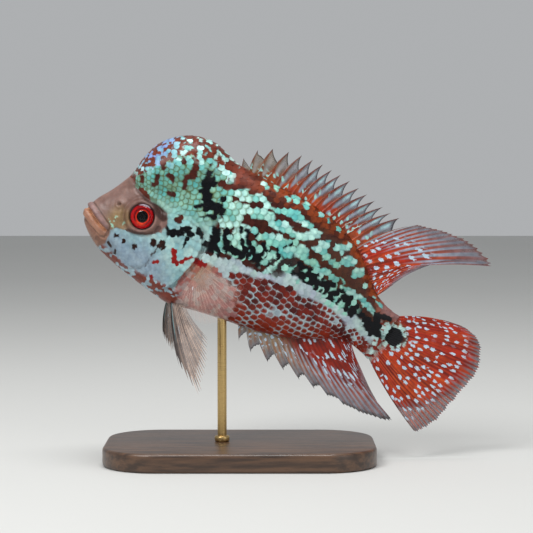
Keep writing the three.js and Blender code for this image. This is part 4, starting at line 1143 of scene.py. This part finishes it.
# Dots in cells: sites counts them across at root, middle and rim, dashes counts their rows from root to rim,
# and missing is the share of cells left bare
def finLook(name, sites, dashes, spotColour, missing=0.45, spotReach=0.85, spotStart=0.05, spotEnd=1.0):
    look, tree, shader = newLook(name, 0.42, coat=0.05, coatRough=0.2, level=0.25)
    where = objectPlace(tree)
    grid = addNode(tree, "ShaderNodeUVMap", uv_map="UVMap").outputs["UV"]
    edges = tree.nodes.new("ShaderNodeSeparateXYZ")
    tree.links.new(grid, edges.inputs["Vector"])
    across, along = edges.outputs["X"], edges.outputs["Y"]
    inner = maths(tree, "LESS_THAN", along, 0.3)
    outer = maths(tree, "GREATER_THAN", along, 0.6)
    count = plus(tree, times(tree, inner, sites[0] - sites[1]), float(sites[1]))
    count = plus(tree, count, times(tree, outer, sites[2] - sites[1]))
    place = tree.nodes.new("ShaderNodeCombineXYZ")
    tree.links.new(times(tree, across, count), place.inputs["X"])
    tree.links.new(times(tree, along, float(dashes)), place.inputs["Y"])
    cells = addNode(tree, "ShaderNodeTexVoronoi", feature="F1", voronoi_dimensions="2D")
    cells.inputs["Scale"].default_value = 1
    cells.inputs["Randomness"].default_value = 0.55
    tree.links.new(place.outputs["Vector"], cells.inputs["Vector"])
    fuzz = minus(tree, noiseNode(tree, where, 900, 2), 0.5)
    far = plus(tree, cells.outputs["Distance"], times(tree, fuzz, 0.5))
    dot = minus(tree, 1.0, ramp(tree, far, 0.2, 0.3))
    split = tree.nodes.new("ShaderNodeSeparateXYZ")
    tree.links.new(cells.outputs["Color"], split.inputs["Vector"])
    shown = ramp(tree, split.outputs["X"], missing - 0.02, missing + 0.02)
    fade = times(tree, minus(tree, 1.0, ramp(tree, along, spotReach - 0.12, spotReach)),
                 ramp(tree, along, spotStart, spotStart + 0.05))
    fade = times(tree, fade, minus(tree, 1.0, ramp(tree, across, spotEnd, spotEnd + 0.06)))
    fade = times(tree, fade, shareNode(tree, "dotted"))
    share = times(tree, times(tree, dot, shown), fade)
    cloud = noiseNode(tree, where, 300, 3)
    base = clouded(tree, cloud, 0.3, 0.7, (0.8, 0.78, 0.78), (1.2, 1.15, 1.1))
    colour = mixColours(tree, share, base, tuple(spotColour))
    tree.links.new(colour, shader.inputs["Base Color"])
    solid = maths(tree, "MAXIMUM", shareNode(tree, "sheer"), times(tree, share, 0.95))
    tree.links.new(solid, shader.inputs["Alpha"])
    bumpInto(tree, shader, noiseNode(tree, where, 1300, 3), 0.3, 0.0002)
    return look


finHues = {
    "red": tone(158, 38, 16), "deepRed": tone(98, 20, 14), "orange": tone(172, 66, 20),
    "ray": tone(178, 146, 138), "grey": tone(104, 106, 116), "smoke": tone(82, 68, 66),
    "tan": tone(142, 126, 100), "dark": tone(24, 22, 26), "blue": tone(182, 204, 220),
    "clear": tone(196, 176, 164), "olive": tone(104, 80, 44), "rust": tone(116, 54, 36),
    "glint": tone(158, 206, 214), "teal": tone(152, 202, 196), "lilac": tone(150, 158, 176),
    "salmon": tone(156, 72, 50),
}


def rayLines(f, b, count, seed):  # fine stripes along the rays, from 0 to 1
    return 0.5 + 0.5 * np.cos(2 * math.pi * f * count + 1.6 * softNoise(f * count * 0.6, b * 2.5, seed))


# Fin colours: f runs along the row of rays, b from root to rim, part from one ray to the next, high is a ridge
def spineColours(f, b, s, h, high, part):
    base = blend(finHues["orange"], finHues["red"], 0.3 + 0.8 * softNoise(s / 6, h / 5, 61))
    base = blend(base, finHues["olive"], step(0.3, 0.05, f) * 0.7 + 0.2)
    base = blend(base, finHues["rust"], step(0.0, 0.6, softNoise(s / 2.2, h / 4, 64)) * 0.7)
    finger = bell(part - 0.42, 0.24)
    outer = blend(finHues["rust"], finHues["grey"], step(0.1, 0.5, finger + 0.5 * step(0.7, 0.95, b)))
    # Painted highlight: a pale lilac stripe down the middle of each finger
    bright = step(0.45, 0.95, finger) * (0.75 + 0.25 * softNoise(s / 2, h / 2, 59)) * step(0.98, 0.85, b)
    outer = blend(outer, finHues["lilac"], bright)
    outer = blend(outer, finHues["tan"], step(0.4, 0.1, f) * 0.6)
    edge = b + 0.32 * finger + 0.16 * softNoise(s / 2.2, h / 2.2, 62) - 0.1 * f
    colour = blend(base, outer, step(0.42, 0.6, edge))
    # Painted highlight: a pale glint near each finger's tip
    glint = bell(part - 0.34, 0.15) * step(0.66, 0.74, b) * step(0.95, 0.88, b)
    colour = blend(colour, finHues["glint"], glint * step(0.3, 0.5, f) * 0.9)
    colour = blend(colour, finHues["rust"], high * step(0.1, 0.4, b) * 0.85)
    colour = blend(colour, finHues["dark"], step(0.94, 0.99, b) * 0.75)
    sheer = 1 - 0.4 * step(0.3, 0.85, b) * (1 - high * 0.8)
    return colour, np.clip(sheer + 0.4 * step(0.94, 0.99, b), 0, 1)


def softColours(f, b, s, h, high, part):
    lines = rayLines(f, b, 24, 60)
    base = blend(finHues["red"], finHues["orange"], 0.4 + 0.8 * softNoise(f * 26, b * 2.5, 65))
    darker = step(0.2, 0.7, softNoise(f * 34, b * 5, 63) + step(0.16, 0.0, b))
    base = blend(base, finHues["deepRed"], darker * 0.75)
    outer = blend(finHues["salmon"], finHues["lilac"], step(0.3, 0.75, lines))
    outer = blend(outer, finHues["grey"], step(0.55, 1.0, b + 0.15 * softNoise(f * 12, b * 2, 58)) * 0.75)
    start = np.interp(f, [0, 0.3, 0.6, 1], [0.3, 0.42, 0.6, 0.8])
    colour = blend(base, outer, step(-0.12, 0.16, b - start + 0.16 * (lines - 0.5)))
    colour = blend(colour, finHues["rust"], step(0.95, 0.99, b) * step(0.5, 0.3, f) * 0.7)
    sheer = 1 - 0.4 * step(0.4, 0.95, b) * (1 - high * 0.8)
    return colour, sheer


def analColours(f, b, s, h, high, part):
    lines = rayLines(f, b, 32, 68)
    darker = 0.6 - 0.5 * lines + 0.6 * softNoise(f * 28, b * 2, 67) + step(0.3, 0.0, b) * 0.4
    base = blend(finHues["red"], finHues["deepRed"], darker)
    front = blend(finHues["tan"], finHues["rust"], step(0.5, 0.9, lines) * 0.8)
    colour = blend(front, base * 0.78, step(0.18, 0.4, f))
    thin = 0.25 * step(0.5, 0.8, f)
    outer = blend(finHues["salmon"], finHues["lilac"], step(0.3, 0.7, lines - thin))
    outer = blend(outer, finHues["tan"], step(0.5, 0.2, f) * 0.65)
    outer = blend(outer, finHues["grey"], step(0.6, 0.95, b) * (0.85 - 0.35 * f))
    start = np.interp(f, [0, 0.3, 0.55, 0.8, 1], [0.2, 0.35, 0.55, 0.7, 0.9])
    colour = blend(colour, outer, step(-0.12, 0.14, b - start + 0.16 * (lines - 0.5)))
    colour = blend(colour, finHues["dark"], step(0.92, 0.98, b) * step(0.9, 0.75, f) * 0.85)
    sheer = 1 - 0.35 * step(0.3, 0.9, b) * (1 - high * 0.8)
    return colour, sheer


def tailColours(f, b, s, h, high, part):
    lines = rayLines(f, b, 34, 73)
    warmer = 0.2 + 0.5 * softNoise(f * 30, b * 2.5, 71) + 0.5 * lines * step(0.2, 0.6, f)
    base = blend(finHues["red"], finHues["orange"], warmer)
    base = blend(base, finHues["deepRed"], step(0.0, 0.7, softNoise(f * 24, b * 4, 74) + 0.5 - lines) * 0.75)
    start = np.interp(f, [0, 0.1, 0.6, 0.85, 1], [0.84, 0.93, 0.88, 0.72, 0.62])
    greyer = step(0.2, 0.7, lines) * 0.8 + 0.3 * step(0.93, 1, b)
    outer = blend(finHues["salmon"], finHues["grey"], greyer)
    colour = blend(base, outer, step(-0.04, 0.08, b - start + 0.1 * (lines - 0.5)))
    colour = blend(colour, finHues["dark"], step(0.972, 0.995, f) * 0.8)
    root = paint(s, h, -1.0, np.zeros(s.shape))[0]
    far = farFrom(marks["eyeSpot"], s, h)
    colour = blend(colour, root, np.maximum(step(0.14, 0.02, b), step(7.4, 6.6, far)))
    sheer = 1 - 0.45 * step(0.0, 0.1, b - start) * (1 - high * 0.7)
    return colour, sheer


def clearColours(f, b, s, h, high, part):
    colour = blend(finHues["clear"], finHues["ray"], high * 0.8)
    colour = blend(colour, finHues["tan"], step(0.35, 0.05, b) * 0.5)
    sheer = (0.06 + 0.26 * high) * step(1.3, 0.3, b) + 0.4 * step(0.22, 0.0, b)
    return colour, np.clip(sheer, 0, 1)


def pelvicColours(f, b, s, h, high, part):
    colour = blend(finHues["smoke"], finHues["clear"], 0.25 + 0.5 * softNoise(f * 20, b * 2, 75))
    colour = blend(colour, finHues["clear"], high * 0.85)
    colour = blend(colour, finHues["dark"], step(0.2, 0.04, f) * 0.85)
    # Painted highlight: a thin pale line along the front ray
    line = step(0.012, 0.004, np.abs(f - 0.07)) * step(0.75, 0.4, b)
    colour = blend(colour, finHues["glint"], line * 0.6)
    sheer = 0.5 + 0.4 * high + 0.3 * step(0.2, 0.0, b) + 0.3 * step(0.25, 0.0, f) - 0.25 * step(0.5, 1.0, f)
    return colour, np.clip(sheer, 0, 1)


blue, teal = finHues["blue"], finHues["teal"]
spineLook = finLook("spineWeb", (20, 20, 20), 6, teal, missing=0.35, spotReach=0.58)
softLook = finLook("softWeb", (9, 13, 19), 12, blue, missing=0.25, spotReach=0.66, spotEnd=0.9)
analLook = finLook("analWeb", (24, 32, 40), 5, blue, missing=0.3, spotReach=0.7, spotEnd=0.92)
tailLook = finLook("tailWeb", (11, 17, 24), 10, blue, missing=0.2, spotReach=0.92, spotStart=0.1)
clearLook = finLook("clearWeb", (12, 12, 12), 6, blue, missing=0.99)

# The roots run between two sections, sunk into the body
spines = uprightRays("back", 12.4, 18.92, 3, finTips["spines"], (0.12, 0.11))
softRays = uprightRays("back", 18.95, 21.9, 3, finTips["softRays"], (0.1, 0.04))
analRays = uprightRays("belly", 15.2, 21.2, 3, finTips["anal"], (-0.1, -0.02))
tailRays = uprightRays("tail", 0, 0, 0, finTips["tail"], (0.09, -0.06))
buildFin("dorsalSpines", spines, "dorsal_fin_spines", spineLook, spineColours,
         perRay=16, notch=0.34, ridge=0.4, hard=True)
buildFin("dorsalSoftRays", softRays, "dorsal_fin_rays", softLook, softColours, rows=64)
buildFin("analFin", analRays, "anal_fin", analLook, analColours, notch=0.04, frontNotch=0.4)
buildFin("tailFin", tailRays, "tail_fin", tailLook, tailColours, rows=72, notch=0.03, web=0.14)
for side, name in ((-1, "Left"), (1, "Right")):
    tips = [(s, h, y * side) for s, h, y in finTips["pectoral"]]
    rays = pairedRays(sidePoint(61.6, -8.6, side, -1.6), sidePoint(61.4, -2.8, side, -1.6), tips,
                      np.array([-1.5, 2.5 * side, -0.5]))
    buildFin("pectoral" + name, rays, "pectoral_fin_" + name.lower(), clearLook, clearColours,
             perRay=12, rows=44, notch=0.02, ridge=0.16, web=0.06)
pelvicRoots = {"Left": ((54.2, -23.4), (59.8, -22.2)), "Right": ((52.4, -23.6), (58.0, -22.6))}
for side, name in ((-1, "Left"), (1, "Right")):
    first, last = pelvicRoots[name]
    rays = pairedRays(np.array([first[0], 3.2 * side, first[1]]), np.array([last[0], 3.8 * side, last[1]]),
                      finTips["pelvic" + name], np.array([-2.4, 1.2 * side, -1]))
    buildFin("pelvic" + name, rays, "pelvic_fin_" + name.lower(), clearLook, pelvicColours,
             perRay=30, rows=48, notch=0.3, ridge=0.22, web=0.09)
print("fins done")


# Eyes: a dark-rimmed iris cupped under a clear dome
iris = {"pupil": 2.95, "edge": 6.0, "cup": 0.7, "rings": 100, "around": 96}


def eyeFrame(side):
    foot = sidePoint(*eye["at"], side, -eye["sink"])
    out = sidePoint(*eye["at"], side, 1 - eye["sink"]) - foot
    out /= np.linalg.norm(out)
    back = np.array([1.0, 0, 0]) - out * out[0]
    back /= np.linalg.norm(back)
    return foot, back, out, np.cross(back, out) * side


def irisLook():
    look, tree, shader = newLook("irisAndPupil", 0.5, level=0.08)
    where = objectPlace(tree)
    fibres = noiseNode(tree, where, 1400, 3)
    colour = clouded(tree, fibres, 0.3, 0.7, (0.75, 0.75, 0.75), (1.25, 1.2, 1.15))
    tree.links.new(colour, shader.inputs["Base Color"])
    bumpInto(tree, shader, fibres, 0.3, 0.0001)
    return look


def domeLook():
    look = bpy.data.materials.new("clearDome")
    look.use_nodes = True
    tree = look.node_tree
    tree.nodes.remove(tree.nodes["Principled BSDF"])
    clear = tree.nodes.new("ShaderNodeBsdfTransparent")
    gloss = tree.nodes.new("ShaderNodeBsdfGlossy")
    gloss.inputs["Roughness"].default_value = 0.03
    rim = tree.nodes.new("ShaderNodeFresnel")
    rim.inputs["IOR"].default_value = 1.24
    film = noiseNode(tree, objectPlace(tree), 300, 2)
    bump = tree.nodes.new("ShaderNodeBump")
    bump.inputs["Strength"].default_value = 0.04
    bump.inputs["Distance"].default_value = 0.0002
    tree.links.new(film, bump.inputs["Height"])
    tree.links.new(bump.outputs["Normal"], gloss.inputs["Normal"])
    both = tree.nodes.new("ShaderNodeMixShader")
    tree.links.new(rim.outputs["Fac"], both.inputs["Fac"])
    tree.links.new(clear.outputs[0], both.inputs[1])
    tree.links.new(gloss.outputs[0], both.inputs[2])
    tree.links.new(both.outputs[0], tree.nodes["Material Output"].inputs["Surface"])
    return look


def buildEye(side, name, look, dome):
    foot, back, out, up = eyeFrame(side)
    piece = newBall(iris["around"], iris["rings"])
    ball = getPlaces(piece)
    far = np.hypot(ball[:, 0], ball[:, 1]) * eye["radius"]
    deep = ball[:, 2] * (eye["depth"] - 0.45)
    level = math.sqrt(1 - (iris["edge"] / eye["radius"]) ** 2) * (eye["depth"] - 0.45)
    front = (ball[:, 2] > 0) & (far < iris["edge"])
    cupped = level + 0.25 - iris["cup"] * (1 - (far / iris["edge"]) ** 2)
    cupped -= 0.9 * step(iris["pupil"], iris["pupil"] - 0.5, far)
    deep = np.where(front, cupped, deep)
    around = np.arctan2(ball[:, 1], ball[:, 0])
    local = ball[:, :1] * eye["radius"] * back + ball[:, 1:2] * eye["radius"] * up + deep[:, None] * out
    setPlaces(piece, toFrame(foot + local))
    outwards(piece)
    fibre = 0.5 + 0.5 * softNoise(around * 9, far / 1.6, 81)
    colour = blend(tone(206, 10, 18), tone(150, 4, 12), fibre * 0.4)
    colour = blend(colour, tone(74, 2, 8), step(0.8, 0.2, np.abs(far - 3.9)) * 0.9)
    # Painted light: the lower iris is brightened orange where light through the dome falls on it
    paintedLowerLight = step(0.6, 1.0, -np.sin(around)) * step(5.0, 3.4, far)
    ring = step(0.3, 0.14, far - iris["pupil"])
    colour = blend(colour, tone(206, 54, 16), np.maximum(ring, paintedLowerLight * 0.8))
    # Painted shade: the top of the iris is darkened, as if shaded from above
    upper = step(0.5, 0.95, np.sin(around) + 0.2 * softNoise(around * 3, far, 82)) * step(4.4, 5.4, far)
    colour = blend(colour, tone(40, 38, 46), upper * 0.85)
    colour = blend(colour, tone(44, 40, 48), step(5.55, 5.8, far))
    # Painted highlight: a pale arc near the top of the iris
    paintedHighlight = step(0.6, 0.3, np.abs(around - math.pi / 2 - 0.1)) * step(0.4, 0.15, np.abs(far - 5.6))
    colour = blend(colour, tone(214, 210, 228), paintedHighlight)
    colour = blend(colour, tone(142, 134, 146), step(6.0, 6.2, far))
    colour = blend(colour, tone(1, 1, 2), step(iris["pupil"] + 0.05, iris["pupil"] - 0.05, far))
    setTint(piece, colour)
    smooth(piece)
    finish(piece, "iris" + name, look, ("eye_" + name.lower(),))
    clear = newBall(iris["around"], iris["rings"])
    ball = getPlaces(clear)
    far = np.hypot(ball[:, 0], ball[:, 1])
    bulge = np.where(ball[:, 2] > 0, ball[:, 2] * (eye["depth"] + 0.35 * (1 - far ** 2)), ball[:, 2] * 0.4)
    radius = eye["radius"] + 0.05
    local = ball[:, :1] * radius * back + ball[:, 1:2] * radius * up + bulge[:, None] * out
    setPlaces(clear, toFrame(foot + local))
    outwards(clear)
    smooth(clear)
    finish(clear, "eyeDome" + name, dome)


irisMade, domeMade = irisLook(), domeLook()
buildEye(-1, "Left", irisMade, domeMade)
buildEye(1, "Right", irisMade, domeMade)
print("eyes done")

# Stand
stand = {"long": 130, "deep": 84, "thick": 9, "corner": 26, "bevel": 1.5, "rod": 2.2, "collar": 3.6}


def woodLook():
    look, tree, shader = newLook("oiledWalnut", 0.4, coat=0.25, coatRough=0.25)
    where = stretched(tree, (9, 90, 90))
    grain = noiseNode(tree, where, 4, 6, 0.6)
    pore = noiseNode(tree, where, 26, 3, 0.6)
    colour = mixColours(tree, ramp(tree, grain, 0.35, 0.65), (0.035, 0.017, 0.009), (0.105, 0.052, 0.026))
    pits = times(tree, ramp(tree, pore, 0.62, 0.72), 0.6)
    colour = mixColours(tree, pits, colour, (0.012, 0.006, 0.004))
    tree.links.new(colour, shader.inputs["Base Color"])
    tree.links.new(plus(tree, times(tree, pore, 0.25), 0.26), shader.inputs["Roughness"])
    bumpInto(tree, shader, pore, 0.2, 0.0002)
    return look


def brassLook():
    look, tree, shader = newLook("satinBrass", 0.3, metal=1.0)
    brushed = noiseNode(tree, stretched(tree, (1, 1, 14)), 160, 4)
    colour = mixColours(tree, brushed, (0.42, 0.28, 0.11), (0.62, 0.44, 0.19))
    tree.links.new(colour, shader.inputs["Base Color"])
    tree.links.new(plus(tree, times(tree, brushed, 0.2), 0.2), shader.inputs["Roughness"])
    return look


def buildStand():
    bpy.ops.object.select_all(action="DESELECT")
    bpy.ops.mesh.primitive_cube_add(size=1, location=(0, 0, stand["thick"] / 2000),
                                    scale=(stand["long"] / 1000, stand["deep"] / 1000, stand["thick"] / 1000))
    base = bpy.context.object
    bpy.ops.object.transform_apply(location=True, rotation=True, scale=True)
    bpy.ops.object.mode_set(mode="EDIT")
    bpy.ops.mesh.select_mode(type="EDGE")
    bpy.ops.mesh.select_all(action="DESELECT")
    bpy.ops.object.mode_set(mode="OBJECT")
    for edge in base.data.edges:
        one, two = (base.data.vertices[k].co for k in edge.vertices)
        edge.select = abs(one.z - two.z) > 0.001
    bpy.ops.object.mode_set(mode="EDIT")
    bpy.ops.mesh.bevel(offset=stand["corner"] / 1000, segments=16, affect="EDGES")
    bpy.ops.object.mode_set(mode="OBJECT")
    rim = base.modifiers.new("rim", "BEVEL")
    rim.width = stand["bevel"] / 1000
    rim.segments = 4
    rim.limit_method = "ANGLE"
    rim.angle_limit = math.radians(60)
    bpy.ops.object.modifier_apply(modifier=rim.name)
    smooth(base, 35)
    finish(base, "standBase", woodLook(), ("stand_base",))
    low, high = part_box("stand_rod")
    at = ((low[0] + high[0]) / 2, 0, (low[2] + high[2]) / 2)
    bpy.ops.object.select_all(action="DESELECT")
    bpy.ops.mesh.primitive_cylinder_add(vertices=48, radius=stand["rod"] / 1000,
                                        depth=high[2] - low[2] + 0.0006, location=at)
    rod = bpy.context.object
    bpy.ops.object.transform_apply(location=True, rotation=True, scale=True)
    bpy.ops.mesh.primitive_cylinder_add(vertices=48, radius=stand["collar"] / 1000, depth=0.003,
                                        location=(at[0], 0, stand["thick"] / 1000 + 0.0015))
    collar = bpy.context.object
    bpy.ops.object.transform_apply(location=True, rotation=True, scale=True)
    edge = collar.modifiers.new("edge", "BEVEL")
    edge.width = 0.0009
    edge.segments = 4
    bpy.ops.object.modifier_apply(modifier=edge.name)
    rod.select_set(True)
    bpy.context.view_layer.objects.active = rod
    bpy.ops.object.join()
    smooth(rod, 35)
    finish(rod, "standRod", brassLook(), ("stand_rod",))


buildStand()
print("stand done")

# Floor, light and camera
studio = {
    "floor": tone(200, 200, 197),
    "cameraFar": 0.9,
    "cameraRise": math.radians(3),
    "frameWidth": 0.2558,  # how much the view shows at the fish, in metres
    "aim": (0.0127, 0, 0.0934),
    "sensor": 36,
    # Place, width and power of each lamp
    "lamps": {
        "keyLight": ((-0.5, -0.7, 0.9), 0.45, 9),
        "fillLight": ((0.8, -0.8, 0.4), 0.7, 1.8),
        "topLight": ((0.05, -0.1, 1.1), 0.5, 7),
    },
    "airColour": (0.78, 0.80, 0.82, 1),
    "airStrength": 0.54,
}


def buildStage():
    bpy.ops.object.select_all(action="DESELECT")
    bpy.ops.mesh.primitive_plane_add(size=6, location=(0, 0, 0))
    floor = bpy.context.object
    floor.name = "floor"
    look, tree, shader = newLook("paleFloor", 0.75)
    cloud = noiseNode(tree, objectPlace(tree), 3, 2)
    shade = mixColours(tree, cloud, studio["floor"] * 0.96, studio["floor"])
    tree.links.new(shade, shader.inputs["Base Color"])
    floor.data.materials.append(look)
    for name, (at, size, power) in studio["lamps"].items():
        bpy.ops.object.light_add(type="AREA", location=at)
        lamp = bpy.context.object
        lamp.name = name
        lamp.data.size = size
        lamp.data.energy = power
        lamp.rotation_euler = (Vector((0, 0, 0.09)) - Vector(at)).to_track_quat("-Z", "Y").to_euler()
    world = bpy.data.worlds.new("studioAir")
    bpy.context.scene.world = world
    world.use_nodes = True
    background = world.node_tree.nodes["Background"]
    background.inputs["Color"].default_value = studio["airColour"]
    background.inputs["Strength"].default_value = studio["airStrength"]
    far, rise = studio["cameraFar"], studio["cameraRise"]
    aim = Vector(studio["aim"])
    at = aim + Vector((0, -far * math.cos(rise), far * math.sin(rise)))
    bpy.ops.object.camera_add(location=at)
    camera = bpy.context.object
    camera.rotation_euler = (aim - at).to_track_quat("-Z", "Y").to_euler()
    camera.data.sensor_width = studio["sensor"]
    camera.data.lens = studio["sensor"] * far / studio["frameWidth"]
    camera.data.dof.use_dof = False
    bpy.context.scene.camera = camera
    bpy.context.scene.view_settings.view_transform = "Standard"


buildStage()
print("stage done")
